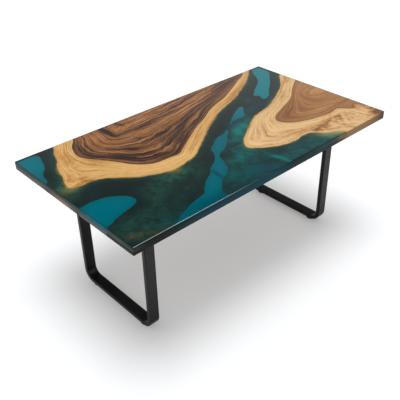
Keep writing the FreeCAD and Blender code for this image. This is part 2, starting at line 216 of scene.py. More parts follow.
def soft_distance(places: np.ndarray, path: np.ndarray, step: float = 0.004) -> np.ndarray:
    """Measure a distance from a line whose level curves have rounded corners, as growth rings have.

    Args:
        places: Points in plan, one a row.
        path: Corners of the line, one a row.
        step: Distance between the points that stand for the line.

    Returns:
        The rounded distance of each point, which is the true one beside a straight line.
    """
    pull = np.zeros(len(places))
    for mark in spaced(path, step):
        gap = places - mark
        # A point's pull falls with the eighth power of its distance, a straight line's with the seventh
        pull += step / (np.einsum("ij,ij->i", gap, gap) + step**2) ** 4
    return (pull / ROUNDING) ** (-1 / 7)


def curve_point(before: Point, start: Point, end: Point, after: Point, share: Number) -> Point:
    """Find a place on the smooth curve through four points.

    Args:
        before: Point before the stretch.
        start: Point where the stretch starts.
        end: Point where it ends.
        after: Point after it.
        share: Share of the stretch up to the place; a column of shares gives a row for each.

    Returns:
        The place on the curve.
    """
    turn = 2 * before - 5 * start + 4 * end - after
    bend = 3 * start - before - 3 * end + after
    return 0.5 * (2 * start + (end - before) * share + turn * share**2 + bend * share**3)


def rounded(points: np.ndarray, closed: bool, steps: int = 8) -> np.ndarray:
    """Draw a smooth curve through points.

    Args:
        points: Points that the curve passes, one a row.
        closed: Whether the curve returns to its first point.
        steps: Pieces between two points.

    Returns:
        The curve as a fine polyline; a closed one repeats its first point at the end.
    """
    if closed:
        padded = np.vstack([points[-1], points, points[0], points[1]])
    else:
        padded = np.vstack([2 * points[0] - points[1], points, 2 * points[-1] - points[-2]])
    share = np.linspace(0, 1, steps, endpoint=False)[:, None]
    runs = [curve_point(*four, share) for four in zip(padded, padded[1:], padded[2:], padded[3:])]
    return np.vstack(runs + [padded[-2][None, :]])


@dataclass(frozen=True)
class Outline:
    """A line drawn on the table top, in shares of its half length and half its width."""

    shares: tuple[tuple[float, float], ...]
    closed: bool = False

    def curve(self, board: Board) -> np.ndarray:
        """Smooth curve of the line, in metres."""
        return rounded(board.place(self.shares), self.closed)

    def depth(self, places: np.ndarray, board: Board) -> np.ndarray:
        """Measure how deep each place lies inside the line.

        Args:
            places: Points in plan, one a row.
            board: Plan of the table top.

        Returns:
            Distance to the line, above zero inside it and below zero outside.
        """
        curve = self.curve(board)
        return np.where(inside(places, curve), 1, -1) * segment_distance(places, curve)


@dataclass(frozen=True)
class Patch:
    """A soft oval patch on the table top."""

    centre: tuple[float, float]
    radii: tuple[float, float]
    amount: float
    turn: float = 0.0


def patch_strength(places: np.ndarray, patches: tuple[Patch, ...], board: Board) -> np.ndarray:
    """Add up soft patches at each place.

    Args:
        places: Points in plan, one a row.
        patches: The patches, with centres in shares, radii in metres and turns in degrees.
        board: Plan of the table top.

    Returns:
        The sum of all patches at each point.
    """
    total = np.zeros(len(places))
    for patch in patches:
        gap = places - board.place((patch.centre,))
        turn = math.radians(patch.turn)
        along = (gap[:, 0] * math.cos(turn) + gap[:, 1] * math.sin(turn)) / patch.radii[0]
        across = (gap[:, 1] * math.cos(turn) - gap[:, 0] * math.sin(turn)) / patch.radii[1]
        total += patch.amount * np.exp(-(along**2 + across**2))
    return total


# Shader nodes


class Wiring:
    """Adds nodes to one tree and joins their sockets."""

    def __init__(self, tree: bpy.types.NodeTree) -> None:
        """Keep the tree that the nodes go into."""
        self.tree = tree

    def add(self, kind: str, inputs: dict[Union[str, int], Wire], **settings: object) -> bpy.types.Node:
        """Add one node.

        Args:
            kind: Type name of the node.
            inputs: Value or source socket for each named or numbered input.
            **settings: Properties of the node.

        Returns:
            The new node.
        """
        node = self.tree.nodes.new(kind)
        for name, value in settings.items():
            setattr(node, name, value)
        for key, value in inputs.items():
            if isinstance(value, Socket):
                self.tree.links.new(value, node.inputs[key])
            else:
                node.inputs[key].default_value = value
        return node

    def socket(self, kind: str, inputs: dict[Union[str, int], Wire], **settings: object) -> Socket:
        """Add one node and give its first output."""
        return self.add(kind, inputs, **settings).outputs[0]

    def math(self, operation: str, first: Wire, second: Wire = 0.0, third: Wire = 0.0) -> Socket:
        """Join up to three numbers by an operation."""
        return self.socket("ShaderNodeMath", {0: first, 1: second, 2: third}, operation=operation)

    def plus(self, first: Wire, second: Wire) -> Socket:
        """Sum of two numbers."""
        return self.math("ADD", first, second)

    def less(self, first: Wire, second: Wire) -> Socket:
        """The first number less the second."""
        return self.math("SUBTRACT", first, second)

    def times(self, first: Wire, second: Wire) -> Socket:
        """Product of two numbers."""
        return self.math("MULTIPLY", first, second)

    def scaled(self, value: Wire, factor: Wire, start: Wire) -> Socket:
        """Product of two numbers, added to a third."""
        return self.math("MULTIPLY_ADD", value, factor, start)

    def remap(self, value: Wire, low: float, high: float, to_low: float = 0.0, to_high: float = 1.0,
              soft: bool = True) -> Socket:
        """Stretch a number from one range to another, clamped at its ends.

        Args:
            value: The number.
            low: Start of its range.
            high: End of its range.
            to_low: Result at the start.
            to_high: Result at the end.
            soft: Whether the result eases in and out.

        Returns:
            The socket of the result.
        """
        inputs = {"Value": value, "From Min": low, "From Max": high, "To Min": to_low, "To Max": to_high}
        style = "SMOOTHSTEP" if soft else "LINEAR"
        return self.socket("ShaderNodeMapRange", inputs, interpolation_type=style)

    def mix(self, share: Wire, first: Wire, second: Wire) -> Socket:
        """Mix two colours."""
        return self.add("ShaderNodeMix", {0: share, 6: first, 7: second}, data_type="RGBA").outputs[2]

    def ramp(self, value: Wire, stops: tuple[tuple[float, Colour], ...]) -> Socket:
        """Turn a number into a colour along a list of stops.

        Args:
            value: The number.
            stops: Number and colour of each stop, in order.

        Returns:
            The socket of the colour.
        """
        node = self.add("ShaderNodeValToRGB", {"Fac": value})
        elements = node.color_ramp.elements
        while len(elements) < len(stops):
            elements.new(1.0)
        for element, (position, colour) in zip(elements, stops):
            element.position = position
            element.color = colour
        return node.outputs["Color"]

    def noise(self, vector: Wire, scale: Wire, detail: float = 2.0, roughness: float = 0.5) -> Socket:
        """Smooth noise, about a half in the middle."""
        inputs = {"Vector": vector, "Scale": scale, "Detail": detail, "Roughness": roughness}
        return self.socket("ShaderNodeTexNoise", inputs)

    def stray(self, vector: Wire, scale: float, detail: float, roughness: float) -> Socket:
        """Smooth noise, about zero in the middle."""
        return self.less(self.noise(vector, scale, detail, roughness), 0.5)

    def place(self) -> Socket:
        """Place on the object, in metres."""
        return self.add("ShaderNodeTexCoord", {}).outputs["Object"]

    def axes(self, vector: Wire) -> tuple[Socket, ...]:
        """The three numbers of a vector."""
        return tuple(self.add("ShaderNodeSeparateXYZ", {0: vector}).outputs)

    def vector(self, x: Wire, y: Wire, z: Wire) -> Socket:
        """A vector from three numbers."""
        return self.socket("ShaderNodeCombineXYZ", {0: x, 1: y, 2: z})

    def field(self, name: str) -> Socket:
        """A number that the mesh holds at each vertex."""
        return self.add("ShaderNodeAttribute", {}, attribute_name=name).outputs["Fac"]

    def bump(self, height: Wire, depth: float, strength: float) -> Socket:
        """Normal of a surface with small heights, in metres."""
        return self.socket("ShaderNodeBump", {"Height": height, "Distance": depth, "Strength": strength})

    def group(self, name: str, inputs: dict[str, Wire]) -> bpy.types.Node:
        """Place a shared effect, with its own values."""
        return self.add("ShaderNodeGroup", inputs, node_tree=bpy.data.node_groups[name])


def shared_effect(name: str, inputs: dict[str, str], outputs: tuple[str, ...],
                  fill: Callable[[Wiring, dict], dict]) -> None:
    """Build a shader node group that several finishes use.

    Args:
        name: Name of the group.
        inputs: Socket kind of each named input, Float or Vector.
        outputs: Names of the numbers that it puts out.
        fill: Function that adds the nodes; it takes the inner wiring and the input sockets, and returns
            the socket for each output.
    """
    tree = bpy.data.node_groups.new(name, "ShaderNodeTree")
    for key, kind in inputs.items():
        tree.interface.new_socket(key, in_out="INPUT", socket_type=f"NodeSocket{kind}")
    for key in outputs:
        tree.interface.new_socket(key, in_out="OUTPUT", socket_type="NodeSocketFloat")
    wiring = Wiring(tree)
    start = wiring.add("NodeGroupInput", {})
    made = fill(wiring, {key: start.outputs[key] for key in inputs})
    end = wiring.add("NodeGroupOutput", {})
    for key, socket in made.items():
        tree.links.new(socket, end.inputs[key])


def fill_grain(wiring: Wiring, given: dict) -> dict:
    """Streaks and late-wood lines that run along the growth rings.

    Args:
        wiring: Inner wiring of the group.
        given: Input sockets: ring distance, place, lines a metre, stretch along the ring, and warp.

    Returns:
        Sockets of the streaks and of the lines, each from 0 to 1.
    """
    x, y, z = wiring.axes(given["Place"])
    sway = wiring.stray(given["Place"], 7.0, 4.0, 0.6)
    ring = wiring.scaled(sway, given["Warp"], given["Ring"])
    ring = wiring.scaled(z, 0.35, ring)
    across = wiring.times(ring, given["Density"])
    along_x = wiring.times(x, given["Stretch"])
    along_y = wiring.times(y, given["Stretch"])
    streak = wiring.noise(wiring.vector(across, along_x, along_y), 1.0, 2.5, 0.55)
    slow = wiring.vector(wiring.times(across, 0.35), wiring.times(along_x, 0.6), along_y)
    pace = wiring.noise(slow, 1.0, 1.5)
    year = wiring.math("FRACT", wiring.scaled(pace, 3.0, wiring.times(across, 0.5)))
    late = wiring.times(wiring.remap(year, 0.25, 0.92), wiring.remap(year, 1.0, 0.93))
    return {"Lines": wiring.remap(streak, 0.3, 0.7, soft=False), "Late": late}


def fill_polish(wiring: Wiring, given: dict) -> dict:
    """Faint rub marks of a polished coat.

    Args:
        wiring: Inner wiring of the group.
        given: Input sockets: place, and the least and greatest roughness.

    Returns:
        The socket of the roughness.
    """
    smear = wiring.noise(given["Place"], 9.0, 3.0, 0.6)
    x, y, z = wiring.axes(given["Place"])
    rub = wiring.noise(wiring.vector(wiring.times(x, 12.0), wiring.times(y, 160.0), z), 1.0)
    share = wiring.remap(wiring.scaled(rub, 0.4, smear), 0.45, 0.95)
    span = wiring.less(given["High"], given["Low"])
    return {"Roughness": wiring.scaled(share, span, given["Low"])}


def fill_orange_peel(wiring: Wiring, given: dict) -> dict:
    """Fine dimples of a sprayed or moulded skin.

    Args:
        wiring: Inner wiring of the group.
        given: Input sockets: place, and dimples a metre.

    Returns:
        Sockets of the height and of a slow change of shade.
    """
    fine = wiring.noise(given["Place"], given["Density"])
    return {"Height": fine, "Shade": wiring.noise(given["Place"], 14.0, 3.0)}


def build_shared_effects() -> None:
    """Build the shader groups that several finishes use."""
    grain = {"Ring": "Float", "Place": "Vector", "Density": "Float", "Stretch": "Float", "Warp": "Float"}
    polish = {"Place": "Vector", "Low": "Float", "High": "Float"}
    peel = {"Place": "Vector", "Density": "Float"}
    shared_effect("grain_lines", grain, ("Lines", "Late"), fill_grain)
    shared_effect("polish_marks", polish, ("Roughness",), fill_polish)
    shared_effect("orange_peel", peel, ("Height", "Shade"), fill_orange_peel)


def new_material(name: str) -> tuple[bpy.types.Material, Wiring]:
    """Start an empty node material.

    Args:
        name: Name of the material.

    Returns:
        The material and the wiring of its tree.
    """
    material = bpy.data.materials.new(name)
    material.use_nodes = True
    material.node_tree.nodes.clear()
    return material, Wiring(material.node_tree)


def close_material(wiring: Wiring, surface: dict[str, Wire]) -> None:
    """End a material in one surface shader.

    Args:
        wiring: Wiring of the material.
        surface: Inputs of the shader.
    """
    shader = wiring.add("ShaderNodeBsdfPrincipled", surface)
    end = wiring.add("ShaderNodeOutputMaterial", {})
    wiring.tree.links.new(shader.outputs[0], end.inputs["Surface"])


def polish(wiring: Wiring, place: Wire, levels: tuple[float, float]) -> Socket:
    """Roughness of a polished coat, between its least and greatest level."""
    values = {"Place": place, "Low": levels[0], "High": levels[1]}
    return wiring.group("polish_marks", values).outputs["Roughness"]


@dataclass(frozen=True)
class Grain:
    """One size of the shared grain: lines a metre across the rings, stretch along them, and warp."""

    density: float
    stretch: float
    warp: float

    def lay(self, wiring: Wiring, ring: Wire, place: Wire) -> tuple[Socket, Socket]:
        """Lay the grain over a surface.

        Args:
            wiring: Wiring of the material.
            ring: Distance across the growth rings.
            place: Place on the object.

        Returns:
            Sockets of the streaks and of the late-wood lines, each from 0 to 1.
        """
        sizes = {"Density": self.density, "Stretch": self.stretch, "Warp": self.warp}
        made = wiring.group("grain_lines", {"Ring": ring, "Place": place, **sizes}).outputs
        return made["Lines"], made["Late"]


BROAD_BANDS = Grain(24.0, 2.0, 0.05)
YEAR_BANDS = Grain(66.0, 2.0, 0.03)
THIN_STRIPES = Grain(130.0, 3.0, 0.02)
FIBRES = Grain(330.0, 11.0, 0.012)
BURL_FOLDS = Grain(38.0, 3.0, 0.05)
RESIN_WISPS = Grain(55.0, 16.0, 0.10)
SANDING_MARKS = Grain(70.0, 3.0, 0.06)


@dataclass(frozen=True)
class FiguredWood:
    """Polished slab wood: a figured heart, pale sapwood, and a rim that the resin tints."""

    name: str
    heart: tuple[tuple[float, Colour], ...]
    sapwood: tuple[tuple[float, Colour], ...]
    heart_contrast: float
    sapwood_contrast: float
    sapwood_lines: float
    border: Colour
    rim: Colour
    fan_centre: tuple[float, float]
    fan_radius: float = 0.2
    fold_depth: float = 0.75
    ripple: float = 0.040
    film: Colour = paint(150, 146, 88)
    bark: Colour = paint(100, 70, 38)
    arris: Colour = paint(40, 30, 24)
    roughness: tuple[float, float] = (0.08, 0.17)

    def build(self) -> bpy.types.Material:
        """Make the material.

        Returns:
            The new material.
        """
        material, wiring = new_material(self.name)
        place = wiring.place()
        ring, tone, burl, stripe = (wiring.field(name) for name in ("ring", "tone", "burl", "stripe"))

        # Growth rings, which swirl in the burl and ripple away from the heart's border
        swirl = wiring.stray(place, 8.0, 2.0, 0.5)
        ring = wiring.scaled(wiring.times(swirl, burl), 0.14, ring)
        ripple = wiring.stray(place, 16.0, 4.0, 0.6)
        ripple = wiring.times(ripple, wiring.remap(ring, 0.0, 0.06, 0.0, self.ripple))
        ring = wiring.plus(ring, ripple)

        def streaks(grain: Grain, across: Wire) -> tuple[Socket, Socket]:
            """Streaks of one grain, about zero in the middle, and its late-wood lines."""
            lines, between = grain.lay(wiring, across, place)
            return wiring.less(lines, 0.5), between

        bands, late = streaks(YEAR_BANDS, ring)
        broad, _ = streaks(BROAD_BANDS, ring)
        stripes, hairlines = streaks(THIN_STRIPES, ring)
        fibres, _ = streaks(FIBRES, ring)

        # Folds that spread out from one point of the burl
        x, y, _ = wiring.axes(place)
        sideways = wiring.less(x, self.fan_centre[0])
        fan = wiring.math("ARCTAN2", sideways, wiring.less(self.fan_centre[1], y))
        fan = wiring.scaled(swirl, 0.16, wiring.times(fan, self.fan_radius))
        folds, creases = streaks(BURL_FOLDS, fan)
        folds = wiring.less(folds, wiring.times(creases, 0.3))

        # Heart and sapwood, each with its own share of the figure
        late = wiring.less(late, 0.3)
        veins = wiring.times(late, wiring.scaled(stripe, 0.42, 0.10))
        figure = wiring.scaled(broad, 0.34, wiring.times(stripes, stripe))
        figure = wiring.scaled(bands, 0.22, figure)
        figure = wiring.scaled(fibres, 0.24, figure)
        figure = wiring.scaled(wiring.times(folds, burl), self.fold_depth, figure)
        mottle = wiring.stray(place, 40.0, 4.0, 0.62)
        level = wiring.scaled(mottle, 0.24, wiring.plus(tone, 0.5))
        heart = wiring.scaled(figure, self.heart_contrast, level)
        heart_colour = wiring.ramp(wiring.less(heart, veins), self.heart)
        flecks = wiring.times(mottle, wiring.scaled(burl, 0.35, 0.12))
        pale = wiring.scaled(figure, self.sapwood_contrast, wiring.plus(level, flecks))
        calm = wiring.remap(burl, 0.0, 0.6, self.sapwood_lines, 0.0)
        pale = wiring.less(pale, wiring.times(wiring.less(hairlines, 0.3), calm))
        sap_colour = wiring.ramp(pale, self.sapwood)

        # Ragged border of the heart, with a dark line inside it
        ragged = wiring.scaled(fibres, 0.006, ring)
        colour = wiring.mix(wiring.remap(ragged, -0.003, 0.003), sap_colour, heart_colour)
        edge_line = wiring.times(wiring.remap(ragged, -0.002, 0.002), wiring.remap(ragged, 0.036, 0.004))
        colour = wiring.mix(wiring.times(edge_line, 0.6), colour, self.border)

        # Live edge: a tinted rim, remains of bark, and a film of resin that runs over it
        rim = wiring.scaled(wiring.plus(fibres, mottle), -0.012, wiring.field("rim"))
        colour = wiring.mix(wiring.remap(rim, 0.024, -0.004, 0.0, 0.55), colour, self.rim)
        jag = wiring.stray(place, 60.0, 4.0, 0.7)
        bark = wiring.scaled(jag, wiring.scaled(burl, 0.030, 0.016), rim)
        colour = wiring.mix(wiring.remap(bark, 0.005, -0.002, 0.0, 0.7), colour, self.bark)
        cover = wiring.scaled(wiring.field("haze"), -0.022, rim)
        colour = wiring.mix(wiring.remap(cover, 0.0, -0.022, 0.0, 0.7), colour, self.film)

        # Painted shade along the bevelled edge at the left, rear and right
        arris = wiring.remap(wiring.field("arris"), *ARRIS_SHADE_BAND, 0.0, 0.65)
        colour = wiring.mix(arris, colour, self.arris)
        rough = polish(wiring, place, self.roughness)
        close_material(wiring, {"Base Color": colour, "Roughness": rough, "IOR": POLISH_IOR})
        return material


@dataclass(frozen=True)
class CastResin:
    """Polished resin: clear teal pools, and dark or green depths over the slabs' sloping edges."""

    name: str
    pool: Colour
    pool_shade: Colour
    pool_light: Colour
    pool_dim: Colour
    deep: Colour
    murk: Colour
    veil: Colour
    wash: Colour
    navy: Colour
    shoal: Colour
    glint: Colour
    film: Colour
    arris: Colour = paint(12, 18, 18)
    roughness: tuple[float, float] = (0.05, 0.13)

    def build(self) -> bpy.types.Material:
        """Make the material.

        Returns:
            The new material.
        """
        material, wiring = new_material(self.name)
        place = wiring.place()
        names = ("pool", "bank", "veil", "wash", "navy", "gold", "light", "border", "shade", "haze")
        pool, bank, veil, wash, navy, gold, light, border, shade, haze = map(wiring.field, names)
        cloud = wiring.noise(place, 7.0, 5.0, 0.62)
        wisp, _ = RESIN_WISPS.lay(wiring, bank, place)
        fine = wiring.noise(place, 60.0, 4.0, 0.65)
        blot = wiring.noise(place, 20.0, 3.0, 0.58)

        # Dark depths with green veils, teal and navy washes, darker shades and golden glints
        murk = wiring.mix(wiring.remap(cloud, 0.36, 0.66), self.deep, self.murk)
        lit = wiring.times(veil, wiring.scaled(wisp, 0.4, 0.50))
        lit = wiring.times(lit, wiring.remap(fine, 0.28, 0.7, 0.7, 1.35, soft=False))
        lit = wiring.times(lit, wiring.remap(blot, 0.40, 0.60, 0.40, 1.25))
        murk = wiring.mix(lit, murk, self.veil)
        smoke = wiring.remap(wiring.scaled(wisp, 0.16, cloud), 0.36, 0.76, 0.30, 1.1)
        smoke = wiring.times(smoke, wiring.remap(blot, 0.38, 0.62, 0.70, 1.25))
        murk = wiring.mix(wiring.times(wash, smoke), murk, self.wash)
        murk = wiring.mix(wiring.times(navy, smoke), murk, self.navy)
        murk = wiring.mix(wiring.times(shade, wiring.remap(blot, 0.35, 0.60, 1.0, 0.6)), murk, self.deep)
        spark = wiring.times(gold, wiring.remap(fine, 0.36, 0.60, 0.3, 1.2))
        murk = wiring.mix(wiring.times(spark, wiring.remap(cloud, 0.3, 0.62)), murk, self.glint)

        # Shallows along the slabs, and thin films where the wood shows through
        shore = wiring.scaled(wisp, -0.010, bank)
        murk = wiring.mix(wiring.remap(shore, 0.040, 0.0, 0.0, 0.16), murk, self.veil)
        murk = wiring.mix(wiring.remap(shore, 0.006, -0.006, 0.0, 0.8), murk, self.shoal)
        thin = wiring.times(haze, wiring.remap(shore, 0.058, -0.006, 0.0, 0.85, soft=False))
        murk = wiring.mix(thin, murk, self.film)

        # Clear pools, lightened towards the back by a painted reflection, dimmed at the front and along one
        # stripe by painted shade, and darkened near the rear and right edges by a painted shade band
        ragged = wiring.scaled(wiring.stray(place, 32.0, 4.0, 0.6), 0.020, pool)
        depth = wiring.remap(wiring.scaled(wiring.noise(place, 4.0), 0.06, pool), 0.02, 0.09)
        clear = wiring.mix(depth, self.pool_shade, self.pool)
        clear = wiring.mix(wiring.remap(light, 0.0, 1.0), clear, self.pool_light)
        clear = wiring.mix(wiring.remap(light, 0.0, -1.0), clear, self.pool_dim)
        # Painted shade: a dark band near the rear and right edges, where refraction would show the far side
        # wall
        clear = wiring.mix(wiring.remap(border, 0.020, 0.014), clear, self.deep)
        colour = wiring.mix(wiring.remap(ragged, -0.002, 0.002), murk, clear)

        # Painted shade along the bevelled edge, fading out at the front's left part where the softbox lights
        # the bevel
        arris = wiring.remap(wiring.field("arris"), *ARRIS_SHADE_BAND, 0.0, 0.7)
        colour = wiring.mix(arris, colour, self.arris)
        rough = polish(wiring, place, self.roughness)
        close_material(wiring, {"Base Color": colour, "Roughness": rough, "IOR": POLISH_IOR})
        return material


@dataclass(frozen=True)
class PolishedSide:
    """Cut and polished side of the board: dark, paler towards its foot, lighter where cut wood shows, and
    with a painted reflection on the resin's left end.
    """

    name: str
    dark: Colour
    dark_low: Colour
    light: Colour
    light_low: Colour
    heart: Colour
    grain: Colour
    tint: Colour
    pool: Colour = paint(0, 92, 108)
    film: Colour = paint(122, 104, 76)
    film_edge: Colour = paint(52, 84, 70)
    z_low: float = 0.722
    z_high: float = 0.763
    pool_rise: float = 0.008
    roughness: tuple[float, float] = (0.16, 0.30)
    specular: float = 0.04

    def build(self) -> bpy.types.Material:
        """Make the material.

        Returns:
            The new material.
        """
        material, wiring = new_material(self.name)
        place = wiring.place()
        x, y, z = wiring.axes(place)
        run = wiring.times(wiring.plus(x, y), 6.0)
        streak = wiring.noise(wiring.vector(run, wiring.times(z, 190.0), 0.0), 1.0, 3.0, 0.6)
        cloud = wiring.noise(place, 9.0, 4.0, 0.6)
        rise = wiring.remap(z, self.z_low, self.z_high)
        rise = wiring.scaled(wiring.less(cloud, 0.5), 0.5, rise)

        # Dark coat with a tinge of teal in places
        colour = wiring.mix(rise, self.dark_low, self.dark)
        tinge = wiring.times(wiring.field("tinge"), wiring.remap(rise, 0.0, 1.0, 1.2, 0.7))
        colour = wiring.mix(wiring.times(tinge, cloud), colour, self.tint)

        # Cut wood showing on a slab's side, with its heart and late-wood lines; a painted reflection on the
        # resin's side
        glow = wiring.times(wiring.field("glow"), wiring.scaled(streak, 0.9, 0.5))
        ring = wiring.field("ring")
        heart = wiring.remap(ring, -0.002, 0.002)
        late = wiring.times(YEAR_BANDS.lay(wiring, ring, place)[1], heart)
        light = wiring.mix(heart, wiring.mix(rise, self.light_low, self.light), self.heart)
        marks = wiring.scaled(late, 0.5, wiring.times(wiring.remap(streak, 0.35, 0.65), 0.35))
        colour = wiring.mix(glow, colour, wiring.mix(marks, light, self.grain))

        # Clear pool above the ledge, and thin resin over the wood with a green edge
        raised = wiring.remap(z, LEDGE_HEIGHT, LEDGE_HEIGHT + self.pool_rise)
        colour = wiring.mix(wiring.times(wiring.field("shine"), raised), colour, self.pool)
        thin = wiring.field("film")
        colour = wiring.mix(wiring.remap(thin, 0.0, 0.3, 0.0, 0.8), colour, self.film_edge)
        colour = wiring.mix(wiring.remap(thin, 0.25, 0.8, 0.0, 0.8), colour, self.film)
        close_material(wiring, {
            "Base Color": colour,
            "Roughness": polish(wiring, place, self.roughness),
            "IOR": POLISH_IOR,
            "Specular IOR Level": self.specular,
        })
        return material


@dataclass(frozen=True)
class SandedUnderside:
    """Sanded, oiled underside of wood or resin, with marks along the table."""

    name: str
    low: Colour
    high: Colour
    roughness: float = 0.6
    mark_depth: float = 0.0002

    def build(self) -> bpy.types.Material:
        """Make the material.

        Returns:
            The new material.
        """
        material, wiring = new_material(self.name)
        place = wiring.place()
        x, y, z = wiring.axes(place)
        lines, _ = SANDING_MARKS.lay(wiring, y, place)
        height = wiring.noise(wiring.vector(wiring.times(x, 20.0), wiring.times(y, 900.0), z), 1.0)
        close_material(wiring, {
            "Base Color": wiring.mix(lines, self.low, self.high),
            "Roughness": self.roughness,
            "Normal": wiring.bump(height, self.mark_depth, 0.3),
        })
        return material


@dataclass(frozen=True)
class SprayedSkin:
    """Powder-coated, moulded or plated skin with fine dimples."""

    name: str
    low: Colour
    high: Colour
    roughness: tuple[float, float]
    dimples: float
    depth: float
    metallic: float = 0.0
    specular: float = 0.5

    def build(self) -> bpy.types.Material:
        """Make the material.

        Returns:
            The new material.
        """
        material, wiring = new_material(self.name)
        skin = wiring.group("orange_peel", {"Place": wiring.place(), "Density": self.dimples}).outputs
        shade = wiring.remap(skin["Shade"], 0.3, 0.7)
        close_material(wiring, {
            "Base Color": wiring.mix(shade, self.low, self.high),
            "Metallic": self.metallic,
            "Specular IOR Level": self.specular,
            "Roughness": wiring.remap(skin["Shade"], 0.3, 0.7, *self.roughness),
            "Normal": wiring.bump(skin["Height"], self.depth, 0.5),
        })
        return material


# Lines and patches of the wood and the resin: places in shares, radii in metres

LEFT_HEART = Outline((
    (-0.60, 1.10), (-0.63, 0.96), (-0.68, 0.835), (-0.711, 0.67), (-0.698, 0.545), (-0.647, 0.409),
    (-0.593, 0.254), (-0.541, 0.088), (-0.459, -0.040), (-0.343, -0.070), (-0.280, -0.071), (-0.224, -0.006),
    (-0.089, 0.148), (0.022, 0.264), (0.126, 0.355), (0.222, 0.464), (0.319, 0.532), (0.43, 0.594),
    (0.519, 0.676), (0.608, 0.759), (0.689, 0.841), (0.763, 0.903), (0.83, 0.994), (0.87, 1.10),
))
RIGHT_HEART = Outline((
    (1.10, 0.43), (0.948, 0.285), (0.852, 0.169), (0.763, 0.045), (0.681, -0.031), (0.57, -0.107),
    (0.467, -0.181), (0.43, -0.237), (0.414, -0.299), (0.444, -0.402), (0.511, -0.485), (0.60, -0.544),
    (0.719, -0.581), (0.822, -0.567), (0.867, -0.655), (0.904, -0.70), (0.925, -0.672), (0.945, -0.645),
    (0.969, -0.672), (0.994, -0.747), (1.10, -0.80),
))
LEFT_CORE = Outline((
    (-0.445, 1.12), (-0.447, 0.90), (-0.445, 0.74), (-0.425, 0.685), (-0.35, 0.672), (-0.20, 0.675),
    (0.0, 0.70), (0.25, 0.77), (0.50, 0.87), (0.72, 0.98), (0.86, 1.06),
))
RIGHT_CORE = Outline((
    (1.12, 0.10), (0.93, 0.06), (0.845, -0.01), (0.822, -0.107), (0.852, -0.19), (0.911, -0.243),
    (1.12, -0.31),
))
TEAL_POOLS = (
    Outline(((-1.08, 0.957), (-0.887, 0.957), (-0.886, 0.82), (-0.911, 0.685), (-0.963, 0.54),
             (-0.989, 0.396), (-1.08, 0.30)), closed=True),
    Outline(((-1.08, -0.215), (-0.978, -0.19), (-0.881, -0.196), (-0.792, -0.278), (-0.748, -0.388),
             (-0.774, -0.491), (-0.881, -0.54), (-0.97, -0.602), (-1.08, -0.64)), closed=True),
    Outline(((-0.82, -1.10), (-0.722, -0.975), (-0.63, -0.891), (-0.537, -0.839), (-0.472, -0.812),
             (-0.426, -0.736), (-0.361, -0.641), (-0.314, -0.598), (-0.269, -0.52), (-0.194, -0.435),
             (-0.148, -0.34), (-0.12, -0.237), (-0.074, -0.177), (0.0, -0.099), (0.064, -0.074),
             (0.124, -0.035), (0.064, -0.134), (0.0, -0.254), (-0.074, -0.34), (-0.12, -0.367),
             (-0.152, -0.443), (-0.171, -0.53), (-0.203, -0.633), (-0.25, -0.709), (-0.306, -0.753),
             (-0.352, -0.839), (-0.384, -0.907), (-0.389, -0.975), (-0.38, -1.10)), closed=True),
    Outline(((0.178, 0.037), (0.267, 0.155), (0.363, 0.252), (0.411, 0.258), (0.37, 0.155), (0.319, 0.066),
             (0.222, 0.06)), closed=True),
    Outline(((0.96, 1.02), (0.978, 0.903), (0.963, 0.746), (0.897, 0.629), (0.822, 0.491), (0.726, 0.355),
             (0.659, 0.243), (0.597, 0.227), (0.611, 0.32), (0.589, 0.375), (0.644, 0.464), (0.733, 0.573),
             (0.808, 0.685), (0.852, 0.82), (0.90, 0.94)), closed=True),
)
# Pushes of the live edge and of its end, in metres towards the right
EDGE_PUSHES = (
    Patch((-0.88, 0.46), (0.06, 0.065), -0.013),
    Patch((-0.847, 0.722), (0.06, 0.05), 0.013),
    Patch((-0.925, 0.18), (0.03, 0.018), -0.007),
)
END_SHIFTS = (Patch((0.63, -1.0), (0.06, 0.07), -0.026),)
# Tones of the wood, darker below zero and lighter above
LEFT_TONES = (
    Patch((-0.50, 0.275), (0.14, 0.034), -0.46, -40.0),
    Patch((-0.50, 0.09), (0.08, 0.014), -0.10, -52.0),
    Patch((-0.33, 0.0), (0.10, 0.022), -0.26),
    Patch((-0.20, 0.10), (0.10, 0.022), -0.22, 32.0),
    Patch((-0.385, 0.18), (0.045, 0.025), -0.20, -30.0),
    Patch((-0.22, 0.20), (0.09, 0.030), -0.26, 28.0),
    Patch((-0.05, 0.38), (0.14, 0.030), -0.34, 30.0),
    Patch((0.16, 0.57), (0.14, 0.026), -0.30, 16.0),
    Patch((0.10, 0.42), (0.12, 0.02), -0.10, 28.0),
    Patch((0.40, 0.74), (0.20, 0.030), -0.22, 20.0),
    Patch((0.62, 0.92), (0.12, 0.03), -0.30, 14.0),
    Patch((-0.66, 0.66), (0.040, 0.12), -0.24),
    Patch((-0.53, 0.80), (0.05, 0.08), 0.08),
    Patch((-0.28, 0.36), (0.10, 0.05), 0.07),
    Patch((-0.31, 0.06), (0.08, 0.03), 0.10),
    Patch((-0.427, 0.86), (0.021, 0.075), -0.46, 4.0),
    Patch((-0.305, 0.92), (0.011, 0.040), -0.36, 12.0),
    Patch((-0.51, 0.84), (0.045, 0.060), 0.12),
    Patch((-0.37, 0.59), (0.100, 0.034), 0.14, -6.0),
    Patch((-0.33, 0.50), (0.026, 0.013), -0.30, -35.0),
    Patch((-0.33, -0.16), (0.12, 0.03), 0.16),
    Patch((-0.20, 0.88), (0.16, 0.05), 0.28, 4.0),
    Patch((0.30, 0.82), (0.18, 0.040), 0.28, 12.0),
    Patch((0.05, 0.95), (0.14, 0.03), -0.12, 4.0),
    Patch((-0.28, 0.46), (0.08, 0.03), -0.14, 8.0),
    Patch((-0.30, 0.30), (0.05, 0.012), 0.20),
    Patch((-0.78, 0.66), (0.03, 0.12), -0.18, -8.0),
    Patch((-0.90, 0.20), (0.05, 0.03), -0.10, 20.0),
    Patch((-0.83, 0.15), (0.06, 0.014), -0.32, -8.0),
    Patch((0.48, 0.54), (0.25, 0.03), -0.12, 26.0),
    Patch((0.0, 0.14), (0.20, 0.03), -0.08, 30.0),
)
